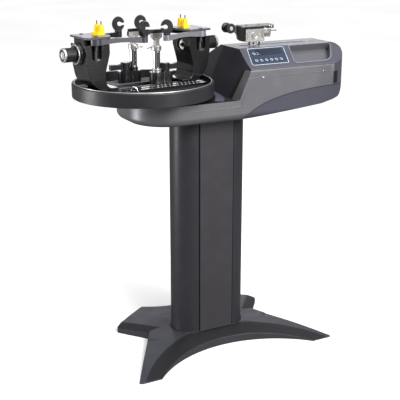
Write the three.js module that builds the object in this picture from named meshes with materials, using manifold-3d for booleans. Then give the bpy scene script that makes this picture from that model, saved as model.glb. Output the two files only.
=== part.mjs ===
// Racket stringing machine: a pedestal with a star base, a machine body with a
// linear tension head, and a turntable that holds the racket at six points.
// Millimetres, +Z up. X runs along the machine, the turntable is at -X, the
// operator's panel faces -Y, and the origin is on the floor below the column.
import * as THREE from 'three';
import { mergeVertices } from 'three/addons/utils/BufferGeometryUtils.js';
import { ConvexGeometry } from 'three/addons/geometries/ConvexGeometry.js';
import Module from 'manifold-3d';

const wasm = await Module();
wasm.setup();

// Shared fits and cutting
const gap = 0.3;
const overrun = 6;
const smallSteps = 3;
const largeSteps = 6;
const largeRadius = 40;
const fluteSides = 5;
const pinSides = 8;
const roundSides = 15;
const rimSides = 44;
const fineRadius = 1.5;
const cornerShare = 0.96;

// Base casting
const frontTipX = 371;
const frontTipY = 246;
const frontTipWidth = 82;
const frontRidgeShare = 0.3;
const frontArcDepth = 123;
const backTipX = 286;
const backTipY = 135;
const backTipInnerX = 140;
const backTipInnerY = 240;
const backArcDepth = 42;
const notchX = 205;
const notchY = 32;
const baseTop = 42;
const baseCrown = 52;
const tipHeight = 13;
const tipSkirt = 9;
const flankHeight = 30;
const baseWall = 7;
const legRidgeHalf = 8;
const legFlankHalf = 165;
const bandSkirt = 28;
const bandWidth = 70;
const bandRise = 18;
const tipRound = 4;
const arcSteps = 11;

// Column
const columnSpan = 58;
const columnRadius = 70;
const columnWall = 4;
const columnTop = 797;
const coverPlateHalf = 62;
const coverPlateThick = 3;
const coverGroove = 3;
const coverGrooveDepth = 4;

// Machine body shells
const bodyHalf = 159.4;
const bodyWall = 4;
const noseX = -293;
const noseRadius = 125;
const bodyEndX = 465;
const bodyEndRadius = 90;
const bodyBottom = 786;
const deckRise = 66;
const deckHeight = bodyBottom + deckRise;
const bellyStartX = 44;
const bellyMidX = 345;
const bellyMidRise = 28;
const bellyEndX = 424;
const bellyEndRise = 46;
const endFootInset = 17;
const endFootRise = 78;
const bodyRise = 145;
const bodyTop = deckHeight + bodyRise;
const topHalf = 60;
const shoulderDrop = 54;
const shoulderHeight = bodyTop - shoulderDrop;
const endShoulderDrop = 42;
const endShoulderHeight = bodyTop - endShoulderDrop;
const endFaceTopX = 85;
const endFaceRun = 65;
const endCreaseY = 38;
const endFoldY = 112;
const endFoldBack = 5;
const endCornerBack = 14;
const sideRound = 10;
const endRound = 34;
const topEndRound = 26;
const panelTopDrop = 1;
const panelTopHeight = shoulderHeight - panelTopDrop;
const panelFootX = 26;
const panelHeadX = 68;
const panelEndX = 398;
const panelEndTopX = 395;
const swooshEndRise = 87;
const swooshEndHeight = bodyBottom + swooshEndRise;
const swooshBendX = 115;
const swooshBendDrop = 5;
const swooshBendHeight = swooshEndHeight - swooshBendDrop;
const swooshSteps = 11;
const slotStart = 121;
const slotEnd = 381;
const slotHalf = 8;

// Control panel on the front bevel, measured along the bevel from its top edge
const bevelLength = Math.hypot(bodyHalf - topHalf, shoulderDrop);
const panelStart = 4;
const panelMargin = 23.1;
const panelDrop = bevelLength - panelStart - panelMargin;
const panelLeft = 113;
const panelWidth = 138;
const bevelLeanShare = 0.27;
const panelThick = 1.6;
const panelCorner = 7;
const windowInset = 8;
const windowLeft = 28;
const windowWidth = 96;
const windowDrop = 30;
const windowThick = 1.2;
const keyMargin = 20;
const keyRow = panelDrop - keyMargin;
const keyRadius = 5.6;
const keyPitch = 18.5;
const keyFirst = 20;
const keyCount = 6;
const keyStand = 2.2;
const keyDepth = 5;
const powerKeyDrop = 30;
const powerKeyFirst = 10;

// Tool tray beside the panel
const trayLeft = 272;
const trayWidth = 166;
const trayStart = 4;
const trayMargin = 19.1;
const trayDrop = bevelLength - trayStart - trayMargin;
const trayDepth = 24;
const trayWall = 2;
const trayCorner = 9;
const trayBigCorner = 48;
const trayShortfall = 26;

// Turntable
const turntableX = -225;
const turntableTurn = 7;
const rimRadius = 223;
const rimLift = 15;
const rimBottom = deckHeight + rimLift;
const rimHeight = 44;
const rimTop = rimBottom + rimHeight;
const rimThick = 10;
const rimRound = 7;
const panLift = 4;
const panFloor = rimBottom + panLift;
const panThick = 6;
const hubRadius = 46;
const spindleRadius = 18;
const spindleStand = 2.5;
const spindleTop = panFloor + panThick + spindleStand;
const collarRadius = 34;
const deckMargin = 8;
const deckRadius = rimRadius - rimThick - deckMargin;
const deckBottom = panFloor + panThick + gap;
const deckThick = 15.7;
const deckTop = deckBottom + deckThick;
const railHeight = 9;
const railTop = deckTop + railHeight;
const railWidth = 13;
const railInner = 30;
const railMargin = 4;
const railRows = 3;
const railReach = 190;
const rackMargin = 55;
const rackY = deckRadius - rackMargin;
const rackWidth = 34;
const rackEndRoom = 5.7;
const rackGap = 21;
const deckHalf = rackY - rackWidth / 2 - rackGap;
const railPitch = (deckHalf - railInner - railMargin) / railRows;
const rackLength = 2 * (Math.sqrt(deckRadius ** 2 - rackY ** 2) - rackEndRoom);
const rackThick = 12;
const rackSlots = 18;
const rackSlotWidth = 6;
const rackSlotLength = 22;

// Mounting towers, measured outwards from the turntable's centre
const towerHalf = 48;
const towerInset = 1;
const towerOuter = rimRadius - towerInset;
const towerWidth = 80;
const towerInner = towerOuter - towerWidth;
const towerRise = 147.7;
const towerTop = deckTop + towerRise;
const waistInset = 13;
const waistOuter = towerOuter - waistInset;
const waistWidth = 51;
const waistInner = waistOuter - waistWidth;
const waistRise = 62;
const waistHeight = deckTop + waistRise;
const footInset = 26;
const footOuter = towerOuter - footInset;
const footWidth = 80;
const footInner = footOuter - footWidth;
const footHeight = 7;
const pinInset = 35;
const pinOut = towerOuter - pinInset;
const pinY = 46;
const pinRadius = 5;
const armBottom = towerTop + gap;
const armThick = 17;
const pocketHalf = 17;
const pocketDepth = 13;
const pocketDrop = 46.7;
const pocketFloor = towerTop - pocketDrop;
const towerSpineHalf = 26;
const plateThick = 6;
const plateHalf = 54;
const plateNose = 12;
const screwDrop = 28.7;
const screwHeight = towerTop - screwDrop;
const bossRadius = 34;
const bossThick = 9;
const screwRadius = 6;
const windowRadiusInner = 20;
const windowRecess = 10;

// Tension knobs of the towers
const knobDiscRadius = 30;
const knobDiscThick = 4;
const knobRadius = 20;
const knobLength = 32;
const knobCapRadius = 21.5;
const knobCapLength = 8;
const knobDimple = 13;
const knobDimpleDepth = 3;
const knobFlutes = 10;
const knobFluteRadius = 3;

// Side arms and racket hooks
const armAngle = 12;
const hookOut = 40.278;
const armReach = (pinOut - hookOut) / Math.cos(THREE.MathUtils.degToRad(armAngle));
const armRootRadius = 16;
const armTipRadius = 11;
const armNeckHalf = 8;
const armTipHalf = 7;
const hookPinRadius = 4;
const hookBaseRadius = 11;
const hookBaseThick = 5;
const hookHalfWidth = 19;
const hookHeight = 44;
const hookThick = 16;
const hookPocket = 7.5;
const hookMouth = 4.2;
const hookRise = 24;
const hookTurns = [-35, -35, 21, 145];

// Head guards
const guardInset = 70;
const guardOut = towerOuter - guardInset;
const guardLength = 22;
const guardHalf = 19;
const guardThick = 9;
const prongHalf = 5;
const prongY = 13;
const prongHeight = 21;
const guardPinRadius = 1.6;
const guardPinHeight = 11;
const guardPostRadius = 4;
const guardPostDepth = 5;
const guardTailLength = 13;

// String clamps
const clampBaseLength = 78;
const clampBaseHalf = 21;
const clampBaseHeight = 36;
const clampPostShift = 16;
const clampHubShift = 14;
const clampPostRadius = 11;
const clampPostRise = 102;
const clampPostTop = railTop + clampPostRise;
const clampSocketRadius = 14;
const clampSocketHeight = 10;
const clampStemRadius = 6;
const clampStemDepth = 40;
const leverHubRadius = 15;
const leverHubHeight = 26;
const leverPinRadius = 5;
const leverLength = 56;
const leverHalf = 6;
const leverThick = 17;
const leverEndHalf = 8;
const collarHeadRadius = 15;
const collarHeadHeight = 15;
const neckHalfX = 7;
const neckHeight = 26;
const combHalf = 18;
const combThick = 13;
const combHeight = 13;
const combTeeth = 5;
const toothHeight = 9;
const toothShare = 0.55;
const stringGap = 2.2;
const camPinRadius = 2.5;
const camArmLength = 22;
const camArmRadius = 1.8;
const camHubRadius = 5;
const camHubLength = 9;
const clampLeft = [-1, 55];
const clampRight = [38, -20];

// Drive of the tension head
const beamBack = 35;
const beamFront = 5;
const beamRise = 65;
const beamTop = deckHeight + beamRise;
const beamThick = 12;
const beamEnd = 350;
const chassisThick = 11;
const chassisHalf = 45;
const riserThick = 16;
const riserX = 70;
const pulleyDrop = 27;
const pulleyHeight = beamTop - pulleyDrop;
const pulleyRadius = 12;
const pulleyFlange = 2;
const pulleyFlangeThick = 1.5;
const pulleyAxle = 4;
const beltWidth = 9;
const beltThick = 1.5;
const beltPlane = -14;
const idlerX = 112;
const motorX = 385;
const motorRadius = 25;
const motorLength = 52;
const carriageX = 172;
const carriageLength = 56;
const carriageRise = 23;
const carriageTop = beamTop + carriageRise;
const carriageFront = 26;
const tongueHalf = 12;
const mastLength = 26;
const mastHalf = 6.5;
const mastRise = 12;
const mastTop = bodyTop + mastRise;
const mastHole = 4;

// Tension head
const gripperLeft = 138;
const gripperRight = 209;
const gripperBottom = mastTop + gap;
const gripperHeight = 47.7;
const gripperTop = gripperBottom + gripperHeight;
const gripperHalf = 14;
const gripperBossRadius = 11;
const gripperBossThick = 3;
const gripperFrame = 5;
const sidePlateLeft = 121;
const sidePlateLift = 2.7;
const sidePlateBottom = gripperBottom + sidePlateLift;
const headPlateThick = 5;
const headPlateRight = 245;
const headLugLength = 20;
const headLugDrop = 8;
const armWebThick = 5;
const armWebDrop = 43;
const armWebFoot = gripperTop - armWebDrop;
const rollerX = 80;
const rollerHeight = gripperTop;
const rollerRadius = 16;
const rollerCore = 10;
const rollerFlange = 7;
const rollerLength = 38;
const rollerAxle = 3.5;
const rollerEye = 9;
const jawStandoff = 3;
const jawPivotX = 218;
const jawPivotDrop = 17;
const jawPivotHeight = gripperTop - jawPivotDrop;
const jawHalf = 9;
const jawWidth = 27;
const jawDrop = 22;
const jawHeadRise = 4;
const jawTop = jawPivotHeight + jawHeadRise;
const jawTailLength = 24;
const jawTailRadius = 1.8;
const jawPinRadius = 3;
const jawEyeRadius = 6;
const triggerX = 197;
const triggerRadius = 2;

// Power inlet and switch at the back
const inletX = 300;
const inletRise = 58;
const inletHeight = deckHeight + inletRise;
const inletHalfX = 15;
const inletHalfZ = 11;
const inletDepth = 22;
const inletFlange = 5;
const inletFlangeThick = 2;
const inletWall = 2.5;
const bladeHalf = 1.2;
const bladeReach = 14;
const switchX = 345;
const switchHalfX = 8;
const switchHalfZ = 12;
const switchProud = 3;
const switchDepth = 14;

// Finishes
function finish(color, roughness, metalness) {
  return new THREE.MeshStandardMaterial({ color, roughness, metalness });
}
const graphite = finish(0x3c3d41, 0.55, 0.4);
const plateGrey = finish(0x47484d, 0.5, 0.5);
const housingGrey = finish(0x5a5b60, 0.6, 0.35);
const coverBlue = finish(0x3b3e4a, 0.5, 0.2);
const glossBlack = finish(0x141416, 0.25, 0.3);
const satinBlack = finish(0x1d1d20, 0.5, 0.2);
const hookBlack = finish(0x26272a, 0.85, 0);
const castGrey = finish(0xa3a4aa, 0.4, 0.8);
const brightMetal = finish(0xd8d9dc, 0.15, 1);
const silver = finish(0xb9bac0, 0.35, 0.9);
const guardYellow = finish(0xf2c81e, 0.5, 0);
const panelInk = finish(0x2c3340, 0.3, 0.1);
const glassDark = finish(0x1f2c44, 0.1, 0.1);
const keyGrey = finish(0xc3c8d2, 0.4, 0.1);
const beltBlack = finish(0x111111, 0.9, 0);

// A closed geometry as a solid for joining and cutting
function solid(geometry) {
  const bare = geometry.clone();
  bare.deleteAttribute('normal');
  bare.deleteAttribute('uv');
  const merged = mergeVertices(bare);
  const index = merged.index.array;
  const kept = [];
  for (let i = 0; i < index.length; i += 3) {
    const [a, b, c] = [index[i], index[i + 1], index[i + 2]];
    if (a !== b && b !== c && c !== a) kept.push(a, b, c);
  }
  return new wasm.Manifold(new wasm.Mesh({
    numProp: 3,
    vertProperties: merged.attributes.position.array,
    triVerts: Uint32Array.from(kept),
  }));
}

// A finished solid as a named mesh
function piece(name, body, material) {
  const { vertProperties, triVerts } = body.getMesh();
  const geometry = new THREE.BufferGeometry();
  geometry.setAttribute('position', new THREE.BufferAttribute(Float32Array.from(vertProperties), 3));
  geometry.setIndex(Array.from(triVerts));
  geometry.computeVertexNormals();
  const mesh = new THREE.Mesh(geometry, material);
  mesh.name = name;
  return mesh;
}

function join(...bodies) {
  return bodies.reduce((whole, body) => whole.add(body));
}

function cut(body, ...tools) {
  return tools.reduce((rest, tool) => rest.subtract(tool), body);
}

// A closed outline whose corners [x, y, radius] are rounded by true arcs,
// each held back to the room that its two edges leave
function outline(corners) {
  const points = [];
  const count = corners.length;
  corners.forEach(([x, y, radius = 0], i) => {
    const here = new THREE.Vector2(x, y);
    if (!radius) {
      points.push(here);
      return;
    }
    const rooms = [];
    const rays = [count - 1, 1].map((step) => {
      const [nx, ny, near = 0] = corners[(i + step) % count];
      const ray = new THREE.Vector2(nx, ny).sub(here);
      rooms.push(ray.length() * (near ? cornerShare / 2 : cornerShare));
      return ray.normalize();
    });
    const half = Math.acos(THREE.MathUtils.clamp(rays[0].dot(rays[1]), -1, 1)) / 2;
    const run = Math.min(radius / Math.tan(half), ...rooms);
    const bend = run * Math.tan(half);
    const centre = rays[0].clone().add(rays[1]).normalize().multiplyScalar(bend / Math.sin(half)).add(here);
    const start = rays[0].clone().multiplyScalar(run).add(here).sub(centre);
    const turn = Math.PI - 2 * half;
    const side = Math.sign(rays[0].cross(rays[1]));
    const quarter = bend > largeRadius ? largeSteps : smallSteps;
    const steps = Math.max(1, Math.ceil(turn / (Math.PI / 2) * quarter));
    for (let k = 0; k <= steps; k += 1) {
      points.push(start.clone().rotateAround(new THREE.Vector2(), -side * turn * k / steps).add(centre));
    }
  });
  return new THREE.Shape(points);
}

function rectangle(left, right, low, high, radius = 0) {
  return outline([[left, low, radius], [right, low, radius], [right, high, radius], [left, high, radius]]);
}

// Prisms of an outline along each axis, from one place to another
function extrude(shape, length) {
  return new THREE.ExtrudeGeometry(shape, { depth: length, bevelEnabled: false });
}

function alongZ(shape, low, high) {
  return solid(extrude(shape, high - low).translate(0, 0, low));
}

function alongY(shape, low, high) {
  return solid(extrude(shape, high - low).rotateX(Math.PI / 2).translate(0, high, 0));
}

function alongX(shape, low, high) {
  const turn = new THREE.Matrix4().makeBasis(
    new THREE.Vector3(0, 1, 0),
    new THREE.Vector3(0, 0, 1),
    new THREE.Vector3(1, 0, 0),
  );
  return solid(extrude(shape, high - low).applyMatrix4(turn).translate(low, 0, 0));
}

function block(x0, x1, y0, y1, z0, z1) {
  return alongZ(rectangle(x0, x1, y0, y1), z0, z1);
}

// Round bars along each axis, centred on a point of the other two
function discShape(x, y, radius, sides = roundSides) {
  const points = [];
  for (let k = 0; k < sides; k += 1) {
    const angle = 2 * Math.PI * (k + 0.5) / sides;
    points.push(new THREE.Vector2(x + radius * Math.cos(angle), y + radius * Math.sin(angle)));
  }
  return new THREE.Shape(points);
}

// A hole's radius that a turning bar of the same name clears by the gap
function holeFor(radius, sides = roundSides) {
  return (radius + gap) / Math.cos(Math.PI / sides);
}

function barZ(x, y, radius, low, high, sides = roundSides) {
  return alongZ(discShape(x, y, radius, sides), low, high);
}

function barY(x, z, radius, low, high, sides = roundSides) {
  return alongY(discShape(x, z, radius, sides), low, high);
}

function barX(y, z, radius, low, high, sides = roundSides) {
  return alongX(discShape(y, z, radius, sides), low, high);
}

// Star base: a plan outline under four sloping leg roofs
function arcRadius(x, depth) {
  return (x * x + depth * depth) / (2 * depth);
}

function arcAcross(x, y, depth) {
  const radius = arcRadius(x, depth);
  const half = Math.asin(x / radius);
  const points = [];
  for (let k = 0; k <= arcSteps; k += 1) {
    const angle = half * (2 * k / arcSteps - 1);
    points.push([radius * Math.sin(angle), y - Math.sign(y) * (depth - radius * (1 - Math.cos(angle)))]);
  }
  return points;
}

function basePlan(inset) {
  const frontInner = frontTipX - frontTipWidth + inset;
  const front = arcAcross(frontInner, -(frontTipY - inset), frontArcDepth);
  const back = arcAcross(backTipInnerX - inset, backTipInnerY - inset, backArcDepth).reverse();
  const notch = [notchX - inset, notchY];
  return outline([
    ...front,
    [frontTipX - inset, -(frontTipY - inset), tipRound],
    notch,
    [backTipX - inset, backTipY, tipRound],
    ...back,
    [-(backTipX - inset), backTipY, tipRound],
    [-notch[0], notch[1]],
    [-(frontTipX - inset), -(frontTipY - inset), tipRound],
  ]);
}

// One leg's roof: a low ridge from above the column's foot out to the tip
function legRoof(tipX, tipY, drop) {
  const along = new THREE.Vector2(tipX, tipY).normalize();
  const across = new THREE.Vector2(-along.y, along.x);
  const tip = new THREE.Vector2(tipX, tipY).addScaledVector(along, overrun);
  const points = [];
  const add = (centre, side, z) => {
    const p = centre.clone().addScaledVector(across, side);
    points.push(new THREE.Vector3(p.x, p.y, z));
  };
  const heart = new THREE.Vector2();
  for (const side of [-1, 1]) {
    add(heart, side * legFlankHalf, -overrun);
    add(tip, side * legFlankHalf, -overrun);
    add(heart, side * legFlankHalf, flankHeight - drop);
    add(tip, side * legFlankHalf, tipSkirt - drop);
    add(heart, side * legRidgeHalf, baseCrown - drop);
    add(tip, side * legRidgeHalf, tipHeight - drop);
  }
  return solid(new ConvexGeometry(points));
}

// The bevelled band that follows an arched edge, as a ring to cut away
function bandCut(x, y, depth, drop) {
  const radius = arcRadius(x, depth);
  const profile = [
    new THREE.Vector2(radius - overrun, bandSkirt - drop - bandRise * overrun / bandWidth),
    new THREE.Vector2(radius + bandWidth, bandSkirt - drop + bandRise),
    new THREE.Vector2(radius + bandWidth, baseCrown + bandRise),
    new THREE.Vector2(radius - overrun, baseCrown + bandRise),
  ];
  profile.push(profile[0]);
  const ring = new THREE.LatheGeometry(profile, rimSides).rotateX(Math.PI / 2);
  return solid(ring.translate(0, y - Math.sign(y) * (depth - radius), 0));
}

function baseBody(inset, drop, low) {
  const frontX = frontTipX - frontTipWidth * frontRidgeShare;
  const backX = (backTipX + backTipInnerX) / 2;
  const backY = (backTipY + backTipInnerY) / 2;
  const roofs = join(
    legRoof(frontX, -frontTipY, drop),
    legRoof(-frontX, -frontTipY, drop),
    legRoof(backX, backY, drop),
    legRoof(-backX, backY, drop),
  );
  const bands = [
    bandCut(frontTipX - frontTipWidth, -frontTipY, frontArcDepth, drop),
    bandCut(backTipInnerX, backTipInnerY, backArcDepth, drop),
  ];
  return cut(roofs.intersect(alongZ(basePlan(inset), low, baseTop - drop)), ...bands);
}

function baseCasting() {
  const foot = alongZ(stadium(columnRadius), -2 * overrun, baseTop);
  const hollow = cut(baseBody(baseWall, baseWall, -overrun), foot);
  return piece('base_casting', cut(baseBody(0, 0, 0), hollow), graphite);
}

// Column: a round-ended tube with a plate set between two grooves at the front
function stadium(radius) {
  const half = columnSpan + radius;
  return rectangle(-half, half, -radius, radius, radius);
}

function column() {
  const low = baseTop + gap;
  const tube = alongZ(stadium(columnRadius), low, columnTop);
  const bore = alongZ(stadium(columnRadius - columnWall), low - overrun, columnTop + overrun);
  const grooves = [-1, 1].map((side) => {
    const middle = side * (coverPlateHalf + coverGroove / 2);
    return block(
      middle - coverGroove / 2,
      middle + coverGroove / 2,
      -columnRadius - overrun,
      -columnRadius + coverGrooveDepth - coverPlateThick / 2,
      low - overrun,
      bodyBottom - gap,
    );
  });
  const front = -columnRadius - gap;
  const plate = block(
    -coverPlateHalf + gap,
    coverPlateHalf - gap,
    front - coverPlateThick,
    front,
    low,
    bodyBottom - gap,
  );
  const back = block(
    -coverPlateHalf + gap,
    coverPlateHalf - gap,
    -front,
    -front + coverPlateThick,
    low,
    bodyBottom - gap,
  );
  return [
    piece('column_tube', cut(tube, bore, ...grooves), graphite),
    piece('column_front_plate', plate, plateGrey),
    piece('column_back_plate', back, plateGrey),
  ];
}

// Machine body: one outer form, hollowed and split into shells
const bevelAngle = Math.atan2(bodyTop - shoulderHeight, bodyHalf - topHalf);

function crossSection(inset) {
  const half = bodyHalf - inset;
  const top = bodyTop - inset;
  const flat = topHalf - inset * Math.tan(bevelAngle / 2);
  const shoulder = top - (half - flat) * Math.tan(bevelAngle);
  const low = bodyBottom - overrun;
  return outline([
    [-half, low],
    [half, low],
    [half, shoulder, sideRound],
    [flat, top, sideRound],
    [-flat, top, sideRound],
    [-half, shoulder, sideRound],
  ]);
}

function sideProfile(inset) {
  const left = noseX - overrun;
  const end = bodyEndX - inset;
  const low = bodyBottom + inset;
  return outline([
    [left, low],
    [bellyStartX, low],
    [bellyMidX, low + bellyMidRise, endRound],
    [bellyEndX, low + bellyEndRise, endRound],
    [end - endFootInset, low + endFootRise, endRound],
    [end, endShoulderHeight],
    [end, bodyTop - inset, topEndRound],
    [left, bodyTop - inset],
  ]);
}

function bodyPlan(inset) {
  const half = bodyHalf - inset;
  const left = noseX + inset;
  const right = bodyEndX - inset;
  return outline([
    [left, half, noseRadius - inset],
    [left, -half, noseRadius - inset],
    [right, -half, bodyEndRadius - inset],
    [right, half, bodyEndRadius - inset],
  ]);
}

// The raised part's end face leans back and is folded at its creases
function endFacePrism(inset) {
  const face = endFaceTopX + inset;
  const half = bodyHalf + overrun;
  const fold = face + endFoldBack;
  const corner = face + endCornerBack;
  const far = bodyEndX + bodyHalf;
  const plan = outline([
    [face, endCreaseY],
    [face, -endCreaseY],
    [fold, -endFoldY],
    [corner, -half],
    [far, -half],
    [far, half],
    [corner, half],
    [fold, endFoldY],
  ]);
  const rise = bodyTop - deckHeight;
  const lean = new THREE.Matrix4().makeShear(0, 0, 0, 0, endFaceRun / rise, 0);
  const low = -rise - overrun;
  const prism = extrude(plan, overrun - low).translate(0, 0, low);
  return solid(prism.applyMatrix4(lean).translate(0, 0, bodyTop));
}

function bodyForm(inset) {
  const plan = bodyPlan(inset);
  const lower = alongZ(plan, bodyBottom - overrun, deckHeight - inset);
  const upper = alongZ(plan, deckHeight - inset - overrun, bodyTop + overrun)
    .intersect(endFacePrism(inset))
    .intersect(alongX(crossSection(inset), noseX - overrun, bodyEndX + overrun));
  return join(lower, upper).intersect(alongY(sideProfile(inset), -bodyHalf - overrun, bodyHalf + overrun));
}

function swoosh(shift) {
  const curve = new THREE.QuadraticBezierCurve(
    new THREE.Vector2(bellyStartX, bodyBottom + shift),
    new THREE.Vector2(swooshBendX, swooshBendHeight + shift),
    new THREE.Vector2(panelEndX, swooshEndHeight + shift),
  );
  return curve.getPoints(swooshSteps).map((p) => [p.x, p.y]);
}

function greyRegion(grow) {
  const left = noseX - overrun;
  return outline([
    [left, bodyBottom - overrun],
    [bellyStartX, bodyBottom - overrun],
    ...swoosh(0),
    [panelEndTopX + grow, panelTopHeight + grow],
    [panelHeadX - grow, panelTopHeight + grow],
    [panelFootX - grow, deckHeight + grow],
    [left, deckHeight + grow],
  ]);
}

function bellyRegion(grow) {
  const right = bodyEndX + overrun;
  return outline([
    [bellyStartX + gap, bodyBottom - overrun],
    ...swoosh(-gap).map(([x, z]) => [x + gap, z]),
    [right, swooshEndHeight - gap + grow],
    [right, bodyBottom - overrun],
  ]);
}

const bevelFrame = new THREE.Matrix4()
  .makeTranslation(0, -topHalf, bodyTop)
  .multiply(new THREE.Matrix4().makeRotationX(bevelAngle));

// An outline drawn on the bevel: x along the machine, t down from the top edge
function onBevel(shape, deep, proud) {
  return solid(extrude(shape, proud - deep).translate(0, 0, deep).applyMatrix4(bevelFrame));
}

function leaning(left, start, width, drop, radii, shortfall = 0) {
  const lean = (t) => -bevelLeanShare * t;
  const low = start + drop;
  return outline([
    [left + lean(start), -start, radii[0]],
    [left + width + lean(start), -start, radii[1]],
    [left + width - shortfall + lean(low), -low, radii[2]],
    [left + lean(low), -low, radii[3]],
  ]);
}

function panelShape(inset) {
  const radius = panelCorner - inset;
  return leaning(
    panelLeft + inset,
    panelStart + inset,
    panelWidth - 2 * inset,
    panelDrop - 2 * inset,
    [radius, radius, radius, radius],
  );
}

function trayShape(inset) {
  const radius = trayCorner - inset;
  return leaning(
    trayLeft + inset,
    trayStart + inset,
    trayWidth - 2 * inset,
    trayDrop - 2 * inset,
    [radius, radius, trayBigCorner - inset, radius],
    trayShortfall,
  );
}

function keyCentres() {
  const rowX = panelLeft - bevelLeanShare * (panelStart + keyRow) + keyFirst;
  const row = Array.from({ length: keyCount }, (_, k) => [rowX + k * keyPitch, -panelStart - keyRow]);
  return [[panelLeft + powerKeyFirst, -panelStart - powerKeyDrop], ...row];
}

function windowShape(inset) {
  const radius = fineRadius - inset / 2;
  return leaning(
    panelLeft + windowLeft + inset,
    panelStart + windowInset + inset,
    windowWidth - 2 * inset,
    windowDrop - 2 * inset,
    [radius, radius, radius, radius],
  );
}

function bodyShells() {
  const outer = bodyForm(0);
  const inner = bodyForm(bodyWall);
  const shell = cut(outer, inner);
  const reach = bodyHalf + overrun;
  const grey = alongY(greyRegion(0), -reach, reach);
  const belly = alongY(bellyRegion(0), -reach, reach);
  const greyRoom = alongY(greyRegion(gap), -reach, reach);
  const bellyRoom = alongY(bellyRegion(gap), -reach, reach);
  const columnHole = alongZ(stadium(columnRadius + gap), bodyBottom - overrun, columnTop + gap);
  const spindleHole = barZ(
    turntableX,
    0,
    collarRadius + gap,
    deckHeight - bodyWall - overrun,
    deckHeight + overrun,
  );
  const inletHole = block(
    inletX - inletHalfX - gap,
    inletX + inletHalfX + gap,
    bodyHalf - bodyWall - overrun,
    bodyHalf + overrun,
    inletHeight - inletHalfZ - gap,
    inletHeight + inletHalfZ + gap,
  );
  const switchHole = block(
    switchX - switchHalfX - gap,
    switchX + switchHalfX + gap,
    bodyHalf - bodyWall - overrun,
    bodyHalf + overrun,
    inletHeight - switchHalfZ - gap,
    inletHeight + switchHalfZ + gap,
  );
  const slotLow = bodyTop - bodyWall - overrun;
  const slot = block(slotStart, slotEnd, -slotHalf, slotHalf, slotLow, bodyTop + overrun);
  const panelRecess = onBevel(panelShape(0), -panelThick - gap, overrun);
  const trayHole = onBevel(trayShape(0), -bodyWall - overrun, overrun);
  const keyHoles = keyCentres().map(([x, y]) => (
    onBevel(discShape(x, y, keyRadius + gap, pinSides), -bodyWall - overrun, overrun)
  ));
  const housing = cut(shell.intersect(grey), columnHole, spindleHole, inletHole, switchHole);
  const cover = cut(shell, greyRoom, bellyRoom, columnHole, slot, panelRecess, trayHole, ...keyHoles);
  return [
    piece('lower_housing', housing, housingGrey),
    piece('belly_cover', cut(shell.intersect(belly), columnHole), coverBlue),
    piece('top_cover', cover, coverBlue),
  ];
}

function controlPanel() {
  const holes = keyCentres().map(([x, y]) => (
    onBevel(discShape(x, y, keyRadius + gap, pinSides), -panelThick - overrun, overrun)
  ));
  const recess = onBevel(windowShape(0), -windowThick, overrun);
  const plate = cut(onBevel(panelShape(gap), -panelThick, 0), recess, ...holes);
  const glass = onBevel(windowShape(gap), gap - windowThick, 0);
  const keys = keyCentres().map(([x, y], k) => piece(
    k ? `panel_key_${k}` : 'panel_power_key',
    onBevel(discShape(x, y, keyRadius, pinSides), -keyDepth, keyStand),
    keyGrey,
  ));
  return [piece('control_panel', plate, panelInk), piece('display_window', glass, glassDark), ...keys];
}

function toolTray() {
  const tub = onBevel(trayShape(gap), -trayDepth, 0);
  const room = onBevel(trayShape(gap + trayWall), trayWall - trayDepth, overrun);
  return piece('tool_tray', cut(tub, room), satinBlack);
}

function powerInlet() {
  const back = bodyHalf + gap;
  const flange = block(
    inletX - inletHalfX - inletFlange,
    inletX + inletHalfX + inletFlange,
    back,
    back + inletFlangeThick,
    inletHeight - inletHalfZ - inletFlange,
    inletHeight + inletHalfZ + inletFlange,
  );
  const can = block(
    inletX - inletHalfX,
    inletX + inletHalfX,
    back - inletDepth,
    back + inletFlangeThick,
    inletHeight - inletHalfZ,
    inletHeight + inletHalfZ,
  );
  const room = block(
    inletX - inletHalfX + inletWall,
    inletX + inletHalfX - inletWall,
    back - inletDepth + inletWall,
    back + overrun,
    inletHeight - inletHalfZ + inletWall,
    inletHeight + inletHalfZ - inletWall,
  );
  const blades = [-1, 0, 1].map((k) => block(
    inletX + k * inletHalfX / 2 - bladeHalf,
    inletX + k * inletHalfX / 2 + bladeHalf,
    back - inletDepth,
    back - inletDepth + bladeReach,
    inletHeight - 2 * bladeHalf,
    inletHeight + 2 * bladeHalf,
  ));
  const rocker = alongX(outline([
    [bodyHalf - switchDepth, inletHeight - switchHalfZ / 2],
    [bodyHalf + switchProud / 2, inletHeight - switchHalfZ + switchProud, fineRadius],
    [bodyHalf + switchProud / 2, inletHeight, fineRadius],
    [bodyHalf + switchProud, inletHeight + switchHalfZ - switchProud, fineRadius],
    [bodyHalf - switchDepth, inletHeight + switchHalfZ / 2],
  ]), switchX - switchHalfX, switchX + switchHalfX);
  return [
    piece('power_inlet', join(cut(join(flange, can), room), ...blades), satinBlack),
    piece('power_switch', rocker, satinBlack),
  ];
}

// Chassis: floor plate on the column, riser and guide beam of the carriage
function chassis() {
  const low = columnTop + gap;
  const floor = block(
    turntableX - collarRadius,
    riserX + riserThick,
    -chassisHalf,
    chassisHalf,
    low,
    low + chassisThick,
  );
  const riser = block(riserX, riserX + riserThick, beamFront, beamBack, low, beamTop);
  const beam = block(riserX, beamEnd, beamFront, beamBack, beamTop - beamThick, beamTop);
  const idlerLug = block(
    riserX,
    idlerX + pulleyAxle * 2,
    beamFront,
    beamFront + riserThick,
    pulleyHeight - pulleyAxle * 2,
    beamTop,
  );
  const axle = barY(idlerX, pulleyHeight, pulleyAxle, beltPlane - beltWidth, beamFront + fineRadius);
  const motorLug = block(
    beamEnd - riserThick,
    motorX - motorRadius - gap,
    beamFront,
    beamBack,
    pulleyHeight - pulleyRadius,
    beamTop,
  );
  return piece('chassis', join(floor, riser, beam, idlerLug, axle, motorLug), castGrey);
}

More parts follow.
